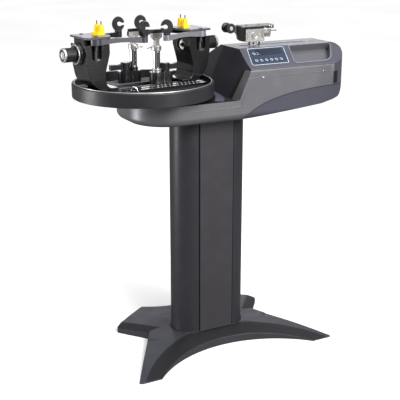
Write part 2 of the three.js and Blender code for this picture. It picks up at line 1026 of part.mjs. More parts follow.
// Spindle that the turntable spins on
function turntableSpindle() {
  const low = columnTop + 2 * gap + chassisThick;
  const flange = barZ(turntableX, 0, collarRadius - gap, low, rimBottom - gap);
  const shaft = barZ(turntableX, 0, spindleRadius, low, spindleTop);
  return piece('turntable_spindle', join(flange, shaft), brightMetal);
}

// Belt drive under the slot
function pulley(name, x) {
  const half = beltWidth / 2 + gap;
  const body = join(
    barY(x, pulleyHeight, pulleyRadius, beltPlane - half, beltPlane + half),
    barY(
      x,
      pulleyHeight,
      pulleyRadius + pulleyFlange,
      beltPlane - half - pulleyFlangeThick,
      beltPlane - half,
    ),
    barY(
      x,
      pulleyHeight,
      pulleyRadius + pulleyFlange,
      beltPlane + half,
      beltPlane + half + pulleyFlangeThick,
    ),
  );
  return { name, x, body };
}

function driveTrain() {
  const low = beltPlane - beltWidth - overrun;
  const idler = pulley('idler_pulley', idlerX);
  const idlerBody = cut(idler.body, barY(idlerX, pulleyHeight, holeFor(pulleyAxle), low, beamFront));
  const drive = pulley('drive_pulley', motorX);
  const motorShaft = barY(motorX, pulleyHeight, pulleyAxle, beltPlane, beamFront + riserThick);
  const driveBody = join(drive.body, motorShaft);
  const motorCan = barY(motorX, pulleyHeight, motorRadius, beamFront, beamFront + motorLength);
  const shaftRoom = barY(motorX, pulleyHeight, holeFor(pulleyAxle), low, beamFront + riserThick + gap);
  const inside = holeFor(pulleyRadius, 4 * smallSteps);
  const run = inside + beltThick;
  const belt = alongY(
    rectangle(idlerX - run, motorX + run, pulleyHeight - run, pulleyHeight + run, run),
    beltPlane - beltWidth / 2,
    beltPlane + beltWidth / 2,
  );
  const beltRoom = alongY(
    rectangle(idlerX - inside, motorX + inside, pulleyHeight - inside, pulleyHeight + inside, inside),
    beltPlane - beltWidth,
    beltPlane + beltWidth,
  );
  return [
    piece('drive_motor', cut(motorCan, shaftRoom), satinBlack),
    piece(drive.name, driveBody, silver),
    piece(idler.name, idlerBody, silver),
    piece('drive_belt', cut(belt, beltRoom), beltBlack),
  ];
}

// Carriage that rides the beam, with its mast through the slot
function tensionCarriage() {
  const half = carriageLength / 2;
  const beltTop = pulleyHeight + holeFor(pulleyRadius, 4 * smallSteps) + beltThick;
  const low = beamTop + gap;
  const top = block(carriageX - half, carriageX + half, -carriageFront, beamBack, low, carriageTop);
  const tongue = block(
    carriageX - tongueHalf,
    carriageX + tongueHalf,
    beltPlane - beltWidth / 2,
    beltPlane + beltWidth / 2,
    beltTop + gap,
    carriageTop,
  );
  const mast = alongZ(
    rectangle(carriageX - mastLength / 2, carriageX + mastLength / 2, -mastHalf, mastHalf, fineRadius),
    carriageTop - overrun,
    mastTop,
  );
  const holeHeight = bodyTop + mastHole + fineRadius;
  const hole = barY(carriageX, holeHeight, mastHole, -slotHalf, slotHalf);
  const trigger = barZ(triggerX, 0, triggerRadius, carriageTop - fineRadius, mastTop, pinSides);
  return piece('tension_carriage', join(cut(join(top, tongue, mast), hole), trigger), silver);
}

// Gripper on the mast: framed silver block with a bare round boss and jaw ears
function gripperBlock() {
  const middleX = (gripperLeft + gripperRight) / 2;
  const middleZ = (gripperBottom + gripperTop) / 2;
  const body = alongY(
    rectangle(gripperLeft, gripperRight, gripperBottom, gripperTop, gripperFrame),
    -gripperHalf,
    gripperHalf,
  );
  const recess = alongY(
    rectangle(
      gripperLeft + gripperFrame,
      gripperRight - gripperFrame,
      gripperBottom + gripperFrame,
      gripperTop - gripperFrame,
      gripperFrame / 2,
    ),
    -gripperHalf - overrun,
    -gripperHalf + gripperBossThick,
  );
  const boss = barY(middleX, middleZ, gripperBossRadius, -gripperHalf, gripperFrame - gripperHalf);
  const ear = alongY(outline([
    [gripperRight - fineRadius, jawPivotHeight - jawEyeRadius],
    [jawPivotX + jawEyeRadius, jawPivotHeight - jawEyeRadius, jawEyeRadius],
    [jawPivotX + jawEyeRadius, jawPivotHeight + jawEyeRadius, jawEyeRadius],
    [gripperRight - fineRadius, jawPivotHeight + jawEyeRadius],
  ]), -gripperHalf, gripperHalf);
  const jawRoom = block(
    gripperRight,
    jawPivotX + 2 * jawEyeRadius,
    -jawHalf - gap,
    jawHalf + gap,
    gripperBottom,
    gripperTop,
  );
  const pin = barY(jawPivotX, jawPivotHeight, jawPinRadius, -gripperHalf, gripperHalf);
  return piece('gripper_block', join(cut(body, recess), boss, cut(ear, jawRoom), pin), silver);
}

function gripperSidePlate() {
  const plate = alongY(outline([
    [sidePlateLeft, gripperTop, fineRadius],
    [sidePlateLeft + gripperFrame, sidePlateBottom + jawDrop, gripperFrame],
    [sidePlateLeft + gripperFrame, sidePlateBottom, fineRadius],
    [gripperLeft - gap, sidePlateBottom],
    [gripperLeft - gap, gripperTop],
  ]), -gripperHalf, gripperHalf);
  return piece('gripper_side_plate', plate, glossBlack);
}

// Top plate: a curved web behind carries the guide roller, a lug ends it
function headPlate() {
  const low = gripperTop + gap;
  const high = low + headPlateThick;
  const webFront = rollerLength / 2 + gap;
  const webBack = webFront + armWebThick;
  const plateShape = rectangle(sidePlateLeft, headPlateRight, -gripperHalf, webBack, fineRadius);
  const plate = alongZ(plateShape, low, high);
  const web = alongY(outline([
    [gripperLeft, high],
    [rollerX - rollerEye, high, rollerEye],
    [rollerX - rollerEye, rollerHeight - rollerEye, rollerEye],
    [rollerX + rollerEye, rollerHeight - rollerEye, rollerEye],
    [sidePlateLeft, (rollerHeight + armWebFoot) / 2, rollerRadius],
    [sidePlateLeft + gripperFrame, armWebFoot],
    [gripperLeft, armWebFoot],
  ]), webFront, webBack);
  const lug = block(
    headPlateRight - headLugLength,
    headPlateRight,
    -gripperHalf,
    webBack,
    low - headLugDrop,
    low + fineRadius,
  );
  const axle = barY(rollerX, rollerHeight, rollerAxle, -rollerLength / 2, webBack);
  return piece('head_plate', join(plate, web, lug, axle), castGrey);
}

// Double-flanged spool that guides the string into the gripper
function guideRoller() {
  const half = rollerLength / 2;
  const profile = [
    [holeFor(rollerAxle), -half],
    [rollerRadius - fineRadius, -half],
    [rollerRadius, fineRadius - half],
    [rollerRadius, rollerFlange - half - fineRadius],
    [rollerCore, rollerFlange - half + fineRadius],
    [rollerCore, half - rollerFlange - fineRadius],
    [rollerRadius, half - rollerFlange + fineRadius],
    [rollerRadius, half - fineRadius],
    [rollerRadius - fineRadius, half],
    [holeFor(rollerAxle), half],
  ].map(([x, y]) => new THREE.Vector2(x, y));
  profile.push(profile[0]);
  const spool = new THREE.LatheGeometry(profile, roundSides).translate(rollerX, 0, 0);
  return piece('guide_roller', solid(spool.translate(0, 0, rollerHeight)), glossBlack);
}

function jawLever() {
  const left = gripperRight + jawStandoff;
  const right = left + jawWidth;
  const wedge = alongY(outline([
    [left, jawTop, fineRadius],
    [right, jawTop, fineRadius],
    [right - gripperFrame, jawTop - jawDrop, fineRadius],
    [left + gripperFrame, jawTop - jawDrop, fineRadius],
  ]), -jawHalf, jawHalf);
  const tail = barX(
    0,
    jawTop - 2 * jawTailRadius,
    jawTailRadius,
    right - gripperFrame,
    right + jawTailLength,
    pinSides,
  );
  const bore = barY(jawPivotX, jawPivotHeight, holeFor(jawPinRadius), -gripperHalf, gripperHalf);
  return piece('jaw_lever', cut(join(wedge, tail), bore), castGrey);
}

// Turntable pan: turned rim, floor and hub in one profile
function turntablePan() {
  const inner = rimRadius - rimThick;
  const points = [[spindleRadius + gap, rimBottom], [hubRadius, rimBottom], [hubRadius, panFloor]];
  points.push([inner - rimRound, panFloor], [inner - rimRound, rimBottom], [rimRadius, rimBottom]);
  points.push([rimRadius, rimTop - rimRound]);
  for (let k = 1; k <= smallSteps; k += 1) {
    const angle = Math.PI / 2 * k / smallSteps;
    points.push([rimRadius - rimRound * (1 - Math.cos(angle)), rimTop - rimRound * (1 - Math.sin(angle))]);
  }
  points.push([inner, rimTop], [inner, panFloor + panThick], [spindleRadius + gap, panFloor + panThick]);
  points.push(points[0]);
  const profile = points.map(([x, y]) => new THREE.Vector2(x, y));
  const turned = new THREE.LatheGeometry(profile, rimSides).rotateX(Math.PI / 2);
  return piece('turntable_pan', solid(turned), graphite);
}

// Deck: slab with raised rails that the clamps and towers stand on
function turntableDeck() {
  const disc = barZ(0, 0, deckRadius, deckBottom, railTop, rimSides);
  const slab = block(-deckRadius, deckRadius, -deckHalf, deckHalf, deckBottom, deckTop);
  const rails = [];
  for (const side of [-1, 1]) {
    for (let k = 0; k < railRows; k += 1) {
      const middle = side * (railInner + k * railPitch);
      const near = middle - railWidth / 2;
      rails.push(block(-railReach, railReach, near, near + railWidth, deckTop - fineRadius, railTop));
    }
  }
  const well = barZ(0, 0, hubRadius, deckBottom - overrun, spindleTop + gap * 2);
  return piece('turntable_deck', cut(join(slab, ...rails).intersect(disc), well), silver);
}

// Slotted rack along the operator's side of the pan
function slottedRack() {
  const low = panFloor + panThick + gap;
  const half = rackLength / 2;
  const bar = alongZ(
    rectangle(-half, half, -rackY - rackWidth / 2, -rackY + rackWidth / 2, rackWidth / 3),
    low,
    low + rackThick,
  );
  const pitch = rackLength / (rackSlots + 1);
  const slots = Array.from({ length: rackSlots }, (_, k) => {
    const x = -half + (k + 1) * pitch;
    const lean = rackSlotWidth;
    return alongZ(outline([
      [x - rackSlotWidth / 2 - lean, -rackY - rackSlotLength / 2],
      [x + rackSlotWidth / 2 - lean, -rackY - rackSlotLength / 2],
      [x + rackSlotWidth / 2 + lean, -rackY + rackSlotLength / 2],
      [x - rackSlotWidth / 2 + lean, -rackY + rackSlotLength / 2],
    ]), low + rackThick / 2, low + rackThick + overrun);
  });
  return piece('slotted_rack', cut(bar, ...slots), satinBlack);
}

// Mounting tower: curved leg, arm pockets with pins, screw boss and inner window
function towerBody(side) {
  const at = (out) => side * out;
  const foot = railTop + gap;
  const profile = outline([
    [at(footInner), foot],
    [at(footOuter), foot],
    [at(waistOuter), waistHeight - footHeight * 4, deckHalf / 2],
    [at(towerOuter), screwHeight - bossRadius / 2, deckHalf / 2],
    [at(towerOuter), towerTop],
    [at(towerInner), towerTop],
    [at(towerInner), screwHeight, pocketHalf],
    [at(waistInner), waistHeight, deckHalf / 3],
    [at(waistInner - footHeight / 2), foot + footHeight * 3, footHeight * 3],
    [at(footInner), foot + footHeight, fineRadius],
  ]);
  const leg = alongY(profile, -towerHalf, towerHalf);
  const ends = [at(pinOut - pocketHalf), at(pinOut + pocketHalf)].sort((a, b) => a - b);
  const pockets = [-1, 1].map((back) => {
    const near = back * (towerHalf - pocketDepth);
    const far = back * (towerHalf + overrun);
    return alongY(
      rectangle(ends[0], ends[1], pocketFloor, towerTop + 2 * pocketHalf, pocketHalf - fineRadius),
      Math.min(near, far),
      Math.max(near, far),
    );
  });
  const pins = [-1, 1].map((back) => (
    barZ(at(pinOut), back * (pinY - pinRadius), pinRadius, pocketFloor - fineRadius, towerTop, pinSides)
  ));
  const armPins = [-1, 1].map((back) => (
    barZ(at(pinOut), back * pinY, pinRadius, towerTop - pocketHalf, armBottom + armThick, pinSides)
  ));
  const spine = block(
    Math.min(at(towerInner + towerSpineHalf), at(towerOuter)),
    Math.max(at(towerInner + towerSpineHalf), at(towerOuter)),
    -towerSpineHalf,
    towerSpineHalf,
    towerTop - fineRadius,
    armBottom + armThick,
  );
  const boss = barX(
    0,
    screwHeight,
    bossRadius,
    Math.min(at(towerOuter - fineRadius), at(towerOuter + bossThick)),
    Math.max(at(towerOuter - fineRadius), at(towerOuter + bossThick)),
  );
  const bore = barX(
    0,
    screwHeight,
    holeFor(screwRadius),
    Math.min(at(towerInner - overrun), at(towerOuter + bossThick + overrun)),
    Math.max(at(towerInner - overrun), at(towerOuter + bossThick + overrun)),
  );
  const recess = barX(
    0,
    screwHeight,
    windowRadiusInner,
    Math.min(at(towerInner - overrun), at(towerInner + windowRecess)),
    Math.max(at(towerInner - overrun), at(towerInner + windowRecess)),
  );
  return cut(join(cut(leg, ...pockets), ...pins, ...armPins, spine, boss), bore, recess);
}

function towerPlate(side) {
  const at = (out) => side * out;
  const low = armBottom + armThick + gap;
  const shape = outline([
    [at(towerInner - plateNose), -plateHalf / 2, fineRadius],
    [at(towerInner), -plateHalf, plateNose],
    [at(towerOuter), -plateHalf, plateNose],
    [at(towerOuter + plateNose / 2), 0, plateNose],
    [at(towerOuter), plateHalf, plateNose],
    [at(towerInner), plateHalf, plateNose],
    [at(towerInner - plateNose), plateHalf / 2, fineRadius],
  ]);
  const room = holeFor(guardPostRadius, pinSides);
  const hole = barZ(at(guardOut), 0, room, low - overrun, low + plateThick + overrun, pinSides);
  return cut(alongZ(shape, low, low + plateThick), hole);
}

// Knob with its washer disc, fluted grip, cap ring and the screw it turns
function towerKnob(side) {
  const at = (out) => side * out;
  const span = (near, far) => [Math.min(at(near), at(far)), Math.max(at(near), at(far))];
  const start = towerOuter + bossThick + gap;
  const grip = start + knobDiscThick;
  const cap = grip + knobLength;
  const end = cap + knobCapLength;
  const disc = barX(0, screwHeight, knobDiscRadius, ...span(start, grip));
  const flutes = Array.from({ length: knobFlutes }, (_, k) => {
    const angle = 2 * Math.PI * k / knobFlutes;
    const y = knobRadius * Math.cos(angle);
    const z = screwHeight + knobRadius * Math.sin(angle);
    return barX(y, z, knobFluteRadius, ...span(grip, cap), fluteSides);
  });
  const body = cut(barX(0, screwHeight, knobRadius, ...span(grip - fineRadius, cap)), ...flutes);
  const ring = barX(0, screwHeight, knobCapRadius, ...span(cap - fineRadius, end));
  const dimple = barX(0, screwHeight, knobDimple, ...span(end - knobDimpleDepth, end + overrun));
  const screw = barX(0, screwHeight, screwRadius, ...span(towerInner + gap, start + fineRadius));
  return join(disc, body, cut(ring, dimple), screw);
}

// Side arm along +X from its pin at the origin
function armBody() {
  const high = armBottom + armThick;
  const root = barZ(0, 0, armRootRadius, armBottom, high - gap);
  const tip = barZ(armReach, 0, armTipRadius, armBottom, high - gap);
  const bar = alongZ(outline([
    [0, -armNeckHalf],
    [armReach, -armTipHalf],
    [armReach, armTipHalf],
    [0, armNeckHalf],
  ]), armBottom, high - gap);
  const belly = alongY(outline([
    [armRootRadius * 2, armBottom - overrun],
    [armReach * 2 / 3, armBottom - overrun],
    [armReach * 2 / 3, armBottom + armThick / 6],
    [armRootRadius * 3, armBottom + armThick / 6],
  ]), -armRootRadius, armRootRadius);
  const pinRoom = holeFor(pinRadius, pinSides);
  const hookRoom = holeFor(hookPinRadius, pinSides);
  const bore = barZ(0, 0, pinRoom, armBottom - overrun, high + overrun, pinSides);
  const socket = barZ(armReach, 0, hookRoom, armBottom - overrun, high + overrun, pinSides);
  return cut(join(root, tip, bar), belly, bore, socket);
}

// Hook on its pin at the origin, open towards +X
function hookBody() {
  const low = armBottom + armThick;
  const base = barZ(0, 0, hookBaseRadius, low, low + hookBaseThick);
  const pin = barZ(0, 0, hookPinRadius, armBottom, low + fineRadius, pinSides);
  const middle = low + hookRise;
  const points = [];
  const half = hookHeight / 2;
  for (let k = 0; k < roundSides; k += 1) {
    const angle = 2 * Math.PI * k / roundSides;
    points.push(new THREE.Vector2(hookHalfWidth * Math.cos(angle), middle + half * Math.sin(angle)));
  }
  const shell = alongY(new THREE.Shape(points), -hookThick / 2, hookThick / 2);
  const foot = alongY(
    rectangle(-hookBaseRadius, hookBaseRadius / 2, low + fineRadius, middle - hookPocket * 2),
    -hookThick / 2,
    hookThick / 2,
  );
  const pocket = barY(hookMouth, middle, hookPocket, -hookThick, hookThick);
  const mouth = alongY(
    rectangle(hookMouth, hookHalfWidth + overrun, middle - hookMouth, middle + hookMouth),
    -hookThick,
    hookThick,
  );
  return cut(join(base, pin, shell, foot), pocket, mouth);
}

// Yellow guard: saddle with two pronged stops, opening towards -X before turning
function guardBody() {
  const low = armBottom + armThick + 2 * gap + plateThick;
  const high = low + guardThick;
  const saddle = alongZ(outline([
    [-guardLength / 2, -guardHalf, fineRadius],
    [guardLength / 2, -guardHalf, fineRadius],
    [guardLength / 2 + guardTailLength, 0, fineRadius],
    [guardLength / 2, guardHalf, fineRadius],
    [-guardLength / 2, guardHalf, fineRadius],
    [-guardLength / 4, 0, fineRadius],
  ]), low, high);
  const post = barZ(0, 0, guardPostRadius, low - gap - guardPostDepth, low + fineRadius, pinSides);
  const prongs = [-1, 1].map((back) => {
    const y = back * prongY;
    return alongY(outline([
      [-guardLength / 2, high - fineRadius],
      [guardLength / 4, high - fineRadius],
      [guardLength / 6, high + prongHeight, fineRadius],
      [-guardLength / 3, high + prongHeight, fineRadius],
    ]), y - prongHalf, y + prongHalf);
  });
  const pinTop = high + prongHeight + guardPinHeight;
  const pins = [-1, 1].map((back) => (
    barZ(-guardLength / 12, back * prongY, guardPinRadius, high, pinTop, pinSides)
  ));
  return join(saddle, post, ...prongs, ...pins);
}

function placed(mesh, x, y, turn) {
  mesh.position.set(x, y, 0);
  mesh.rotation.z = THREE.MathUtils.degToRad(turn);
  return mesh;
}

function towerSet(sideName, side) {
  const guard = piece(`head_guard_${sideName}`, guardBody(), guardYellow);
  const meshes = [
    piece(`tower_${sideName}`, towerBody(side), glossBlack),
    piece(`tower_plate_${sideName}`, towerPlate(side), castGrey),
    piece(`tower_knob_${sideName}`, towerKnob(side), satinBlack),
    placed(guard, side * guardOut, 0, side < 0 ? 180 : 0),
  ];
  [['rear', 1], ['front', -1]].forEach(([rowName, back]) => {
    const splay = back * armAngle;
    const turn = side < 0 ? splay : 180 - splay;
    const reach = THREE.MathUtils.degToRad(turn);
    const hookX = side * pinOut + armReach * Math.cos(reach);
    const hookY = back * pinY + armReach * Math.sin(reach);
    const hookTurn = hookTurns[(back < 0 ? 2 : 0) + (side < 0 ? 0 : 1)];
    const arm = piece(`arm_${rowName}_${sideName}`, armBody(), satinBlack);
    const hook = piece(`hook_${rowName}_${sideName}`, hookBody(), hookBlack);
    meshes.push(placed(arm, side * pinOut, back * pinY, turn), placed(hook, hookX, hookY, hookTurn));
  });
  return meshes;
}

// String clamp with its post at the origin and its lock lever towards -X
function clampSet(sideName, [x, y], turn) {
  const low = railTop + gap;
  const high = low + clampBaseHeight;
  const left = -clampBaseLength / 2 - clampPostShift;
  const right = clampBaseLength / 2 - clampPostShift;
  const hubX = -clampPostShift - clampHubShift;
  const plan = rectangle(left, right, -clampBaseHalf, clampBaseHalf, clampBaseHalf - fineRadius);
  const slab = alongZ(plan, low, high);
  const waistY = clampBaseHalf + clampBaseHalf / 3;
  const waist = [-1, 1].map((back) => (
    barZ((left + right) / 2, back * waistY, clampBaseHalf / 2, low - overrun, high + overrun)
  ));
  const socketTop = high + clampSocketHeight;
  const socket = barZ(0, 0, clampSocketRadius, high - fineRadius, socketTop);
  const pin = barZ(hubX, 0, leverPinRadius, high - fineRadius, high + leverHubHeight);
  const stemLow = high - clampBaseHeight / 3;
  const stemRoom = barZ(0, 0, holeFor(clampPostRadius), stemLow, socketTop + overrun);
  const base = cut(join(cut(slab, ...waist), socket, pin), stemRoom);

  const leverLow = high + gap;
  const leverTop = leverLow + leverHubHeight;
  const hub = barZ(hubX, 0, leverHubRadius, leverLow, leverTop);
  const armLow = leverLow + (leverHubHeight - leverThick) / 2;
  const arm = alongZ(outline([
    [hubX, -leverHalf],
    [hubX, leverHalf],
    [hubX - leverLength, leverEndHalf, fineRadius],
    [hubX - leverLength, -leverEndHalf, fineRadius],
  ]), armLow, armLow + leverThick);
  const hubBore = barZ(hubX, 0, holeFor(leverPinRadius), leverLow - overrun, leverTop + overrun);
  const socketRoom = barZ(0, 0, holeFor(clampSocketRadius), leverLow - overrun, leverTop + overrun);
  const lever = cut(join(hub, arm), hubBore, socketRoom);

  const boreLow = clampPostTop - clampStemDepth;
  const bore = barZ(0, 0, holeFor(clampStemRadius), boreLow, clampPostTop + overrun);
  const post = cut(barZ(0, 0, clampPostRadius, stemLow + gap, clampPostTop), bore);

  const headLow = clampPostTop + gap;
  const collar = barZ(0, 0, collarHeadRadius, headLow, headLow + collarHeadHeight);
  const stem = barZ(0, 0, clampStemRadius, boreLow + gap, headLow + fineRadius);
  const combLow = headLow + collarHeadHeight + neckHeight;
  const neck = alongY(outline([
    [-collarHeadRadius / 2, headLow + collarHeadHeight - fineRadius],
    [collarHeadRadius / 2, headLow + collarHeadHeight - fineRadius],
    [neckHalfX, combLow - neckHalfX, neckHalfX],
    [combHalf, combLow + fineRadius],
    [-combHalf, combLow + fineRadius],
    [-neckHalfX, combLow - neckHalfX, neckHalfX],
  ]), -combThick / 2, combThick / 2);
  const comb = block(-combHalf, combHalf, -combThick / 2, combThick / 2, combLow, combLow + combHeight);
  const pitch = 2 * combHalf / combTeeth;
  const teeth = Array.from({ length: combTeeth }, (_, k) => {
    const start = -combHalf + (k + (1 - toothShare) / 2) * pitch;
    const top = combLow + combHeight;
    const width = pitch * toothShare;
    return alongY(outline([
      [start, top - fineRadius],
      [start + width, top - fineRadius],
      [start + width * toothShare, top + toothHeight],
      [start + width * (1 - toothShare), top + toothHeight],
    ]), -combThick / 2, combThick / 2);
  });
  const jawSlot = block(
    -combHalf - overrun,
    combHalf + overrun,
    -stringGap / 2,
    stringGap / 2,
    combLow + combHeight / 3,
    combLow + combHeight + toothHeight + overrun,
  );
  const camHeight = headLow + collarHeadHeight / 2;
  const camHole = barY(0, camHeight, holeFor(camPinRadius), -collarHeadRadius - overrun, 0);
  const head = cut(join(collar, stem, neck, comb, ...teeth), jawSlot, camHole);

  const camFace = -collarHeadRadius - gap;
  const camPin = barY(0, camHeight, camPinRadius, camFace - fineRadius, -camPinRadius - gap);
  const camHub = barY(0, camHeight, camHubRadius, camFace - camHubLength, camFace);
  const camArm = barX(camFace - camHubLength / 2, camHeight, camArmRadius, 0, camArmLength, pinSides);
  const cam = join(camPin, camHub, camArm);

  const parts = [
    [`clamp_base_${sideName}`, base, satinBlack],
    [`clamp_lever_${sideName}`, lever, satinBlack],
    [`clamp_post_${sideName}`, post, brightMetal],
    [`clamp_head_${sideName}`, head, silver],
    [`clamp_cam_${sideName}`, cam, brightMetal],
  ];
  return parts.map(([name, body, material]) => placed(piece(name, body, material), x, y, turn));
}

// The whole machine
const turntable = new THREE.Group();
turntable.position.x = turntableX;
turntable.rotation.z = THREE.MathUtils.degToRad(turntableTurn);
turntable.add(
  turntablePan(),
  turntableDeck(),
  slottedRack(),
  ...towerSet('left', -1),
  ...towerSet('right', 1),
  ...clampSet('left', clampLeft, 0),
  ...clampSet('right', clampRight, 180),
);

const machine = new THREE.Group();
machine.add(
  baseCasting(),
  ...column(),
  ...bodyShells(),
  ...controlPanel(),
  toolTray(),
  ...powerInlet(),
  chassis(),
  turntableSpindle(),
  ...driveTrain(),
  tensionCarriage(),
  gripperBlock(),
  gripperSidePlate(),
  headPlate(),
  guideRoller(),
  jawLever(),
  turntable,
);

export default machine;
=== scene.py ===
import math

import bmesh
import bpy
import numpy as np
from mathutils import Matrix, Vector


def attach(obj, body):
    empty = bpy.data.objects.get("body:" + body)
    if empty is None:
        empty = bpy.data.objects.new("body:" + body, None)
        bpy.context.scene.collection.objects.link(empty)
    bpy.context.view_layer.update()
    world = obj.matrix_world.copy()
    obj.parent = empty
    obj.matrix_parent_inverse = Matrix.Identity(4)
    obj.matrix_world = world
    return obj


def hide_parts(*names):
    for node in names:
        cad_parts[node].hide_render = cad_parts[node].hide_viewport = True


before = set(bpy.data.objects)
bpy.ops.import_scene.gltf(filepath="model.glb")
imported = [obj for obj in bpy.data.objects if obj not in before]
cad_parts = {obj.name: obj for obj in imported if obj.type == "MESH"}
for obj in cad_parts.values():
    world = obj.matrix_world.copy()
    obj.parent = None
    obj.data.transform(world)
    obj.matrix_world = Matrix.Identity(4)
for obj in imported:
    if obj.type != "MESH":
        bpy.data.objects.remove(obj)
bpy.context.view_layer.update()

# Lengths are in millimetres and become metres when a piece is fitted
MM = 0.001
GAP = 0.3
OVERRUN = 6
CORNER_SHARE = 0.96
FINE = 1.5
ROUND_SIDES = 64
FINE_ARC = math.radians(7)
NOSE_ARC = math.radians(3.5)

# Camera of the photograph
CAMERA_LENS = 81
CAMERA_SENSOR = 36
CAMERA_YAW = math.radians(27.896)
CAMERA_PITCH = math.radians(17.515)
CAMERA_PLACE = (-1376.9, -2555.9, 1402.3)

# Studio, in metres and watts: place, target, size and power of each light
FLOOR_SIZE = 60
WORLD_STRENGTH = 0.22
DAYLIGHT = (3.0, math.radians(70), (0.1, -0.3, 1))
STUDIO_LIGHTS = {
    "key light": ((0.3, -2.7, 2.3), (-0.1, 0, 0.85), (1.3, 1.1), 100),
    "left light": ((-2.5, 1.0, 0.9), (0, 0, 0.6), (0.6, 1.8), 48),
    "right light": ((1.0, -2.9, 1.2), (-0.15, 0, 0.85), (0.7, 1.3), 13),
    "back light": ((1.7, 3.3, 1.5), (0, 0, 0.95), (2.6, 0.8), 13),
}

# Sides of round forms, from the smallest to the largest
HEX_SIDES = 6
LEAST_SIDES = 10
LIP_SIDES = 12
WIRE_SIDES = 14
ROD_SIDES = 18
PIN_SIDES = 24
BORE_SIDES = 32
HOLE_SIDES = 40
CAP_SIDES = 48
AXLE_SIDES = 56
HUB_SIDES = 72
BOSS_SIDES = 80
DISC_SIDES = 96
DIP_SIDES = 160

# Steps of paths and of edge rounds
FLAT_STEPS = 1
COARSE_STEPS = 2
EDGE_STEPS = 3
LEAST_STEPS = 3
FINE_STEPS = 4
SHORT_STEPS = 6
PATH_STEPS = 8
LONG_STEPS = 14

# Angles in degrees, for levelling faces, rounding edges off and shading
LEVEL_ANGLE = 0.3
EDGE_ANGLE = 34
SHADE_ANGLE = 40
POCKET_ANGLE = 46
LEG_ANGLE = 50
SWELL_ANGLE = 50
BASE_ANGLE = 55
WIRE_ANGLE = 60
RING_ANGLE = 80

# Edge rounds from the sharpest to the softest
TRACE_EDGE = 0.15
FILM_EDGE = 0.2
HAIR_EDGE = 0.3
FINE_EDGE = 0.4
SHARP_EDGE = 0.5
CRISP_EDGE = 0.6
NEAT_EDGE = 0.7
PLAIN_EDGE = 0.8
EVEN_EDGE = 0.9
MILLED_EDGE = 1
SOFT_EDGE = 1.1
ROUND_EDGE = 1.2
CAST_EDGE = 1.3
WORN_EDGE = 1.4
BROAD_EDGE = 1.5
WIDE_EDGE = 2
STRIP_EDGE = 3

# Patterns of the finishes: scale and detail of each noise
COAT_CLOUD = (7, 3)
COAT_WEAR = (23, 4)
GLOSS_PEEL = (160, 2)
GLOSS_DUST = (60, 5)
GLOSS_WEAR = (11, 3)
METAL_CLOUD = (15, 3)
METAL_DETAIL = 3
SOFT_BLOOM = (40, 4)
SOFT_GRAIN = (1400, 2)
FILM_WAVE = (9, 2)
FILM_WEAR = (300, 2)
FILM_GRAIN = (500, 2)
FLOOR_CLOUD = (0.8, 3)
FLOOR_GRAIN = (400, 2)

# Shares of patterns, bands that are stretched, spreads of roughness and strengths of relief
COAT_SHARES = (0.6, 0.4)
METAL_SHARES = (0.7, 0.3)
FILM_WAVE_SHARE = 0.35
MIDDLE_BAND = (0.3, 0.7)
COAT_BAND = (0.45, 0.75)
DUST_BAND = (0.5, 0.8)
GLOSS_BAND = (0.35, 0.7)
SOFT_BAND = (0.4, 0.8)
PAINTED_REFLECTION_BAND = (-6.0, -5.5)
PAINTED_REFLECTION_RUN = (3.2, 6.5)
FLOOR_BAND = (0.35, 0.65)
COAT_SPREAD = (0.04, 0.07)
GLOSS_SPREAD = (0.03, 0.08)
METAL_SPREAD = (0.04, 0.08)
SOFT_SPREAD = (0.08, 0.1)
FILM_SPREAD = (0, 0.06)
FLOOR_ROUGH = (0.7, 0.8)
FLOOR_SHARES = (0.9, 0.94)
COAT_CLEAR = 0.12
GLOSS_CLEAR = 0.08
FILM_CLEAR = 0.05
FILM_COAT = 0.5
COAT_BUMP = 0.35
GLOSS_BUMP = 0.2
METAL_BUMP = 0.25
SOFT_BUMP = 0.3
FILM_BUMP = 0.15
FLOOR_BUMP = 0.1
DUST_MOST = 0.12
DUST_TONE = 2.4
BLOOM_TONE = 1.7
WHITE = 255
TONE_FOOT = (0.04045, 12.92)
TONE_CURVE = (0.055, 1.055, 2.4)

# Welding distance, weight of face areas in shading, depths of relief and least values
WELD = 0.0005
SHADE_WEIGHT = 60
PEEL_DEPTH = 0.06
BLOOM_DEPTH = 0.05
FLOOR_DEPTH = 0.05
LEAST_ROUND = 0.4
LEAST_TURN_SHARE = 0.4
HALF_TURN = 180

# Star base
FRONT_TIP = (371, 246)
FRONT_TIP_WIDTH = 82
FRONT_RIDGE_SHARE = 0.3
FRONT_ARC_DEPTH = 123
BACK_TIP = (286, 135)
BACK_TIP_INNER = (140, 240)
BACK_ARC_DEPTH = 42
NOTCH = (205, 32)
NOTCH_ROUND = 2
BASE_TOP = 42
BASE_CROWN = 52
FRONT_TIP_HEIGHTS = (3, 3)
BACK_TIP_HEIGHTS = (28, 27)
TIP_LEAST = 4
LEG_FALL = 1.5
CREASE_DEPTH = 188
CREASE_SLOPE = 0.16
FLANK_BAND = 32
FLANK_SLOPE = 0.3
FLANK_HEIGHT = 30
RIDGE_HALF = 8
FLANK_HALF = 165
BAND_SKIRT = 28
BAND_WIDTH = 70
BAND_RISE = 18
TIP_ROUND = 9
BEVEL_LEAN = 0.5
BASE_GRID = 5
BASE_BLEND = 3
BASE_EDGE = 2.6
BASE_EDGE_STEPS = 4
BASE_ARC_STEPS = 72

# Column
COLUMN_HALF = 128
COLUMN_RADIUS = 70
COLUMN_TOP = 796
COLUMN_PLATE_HALF = 61.7
COLUMN_PLATE_FACE = 73.3
COLUMN_GROOVE = 3.4
COLUMN_GROOVE_DEPTH = 4
COLUMN_ROOM = 1

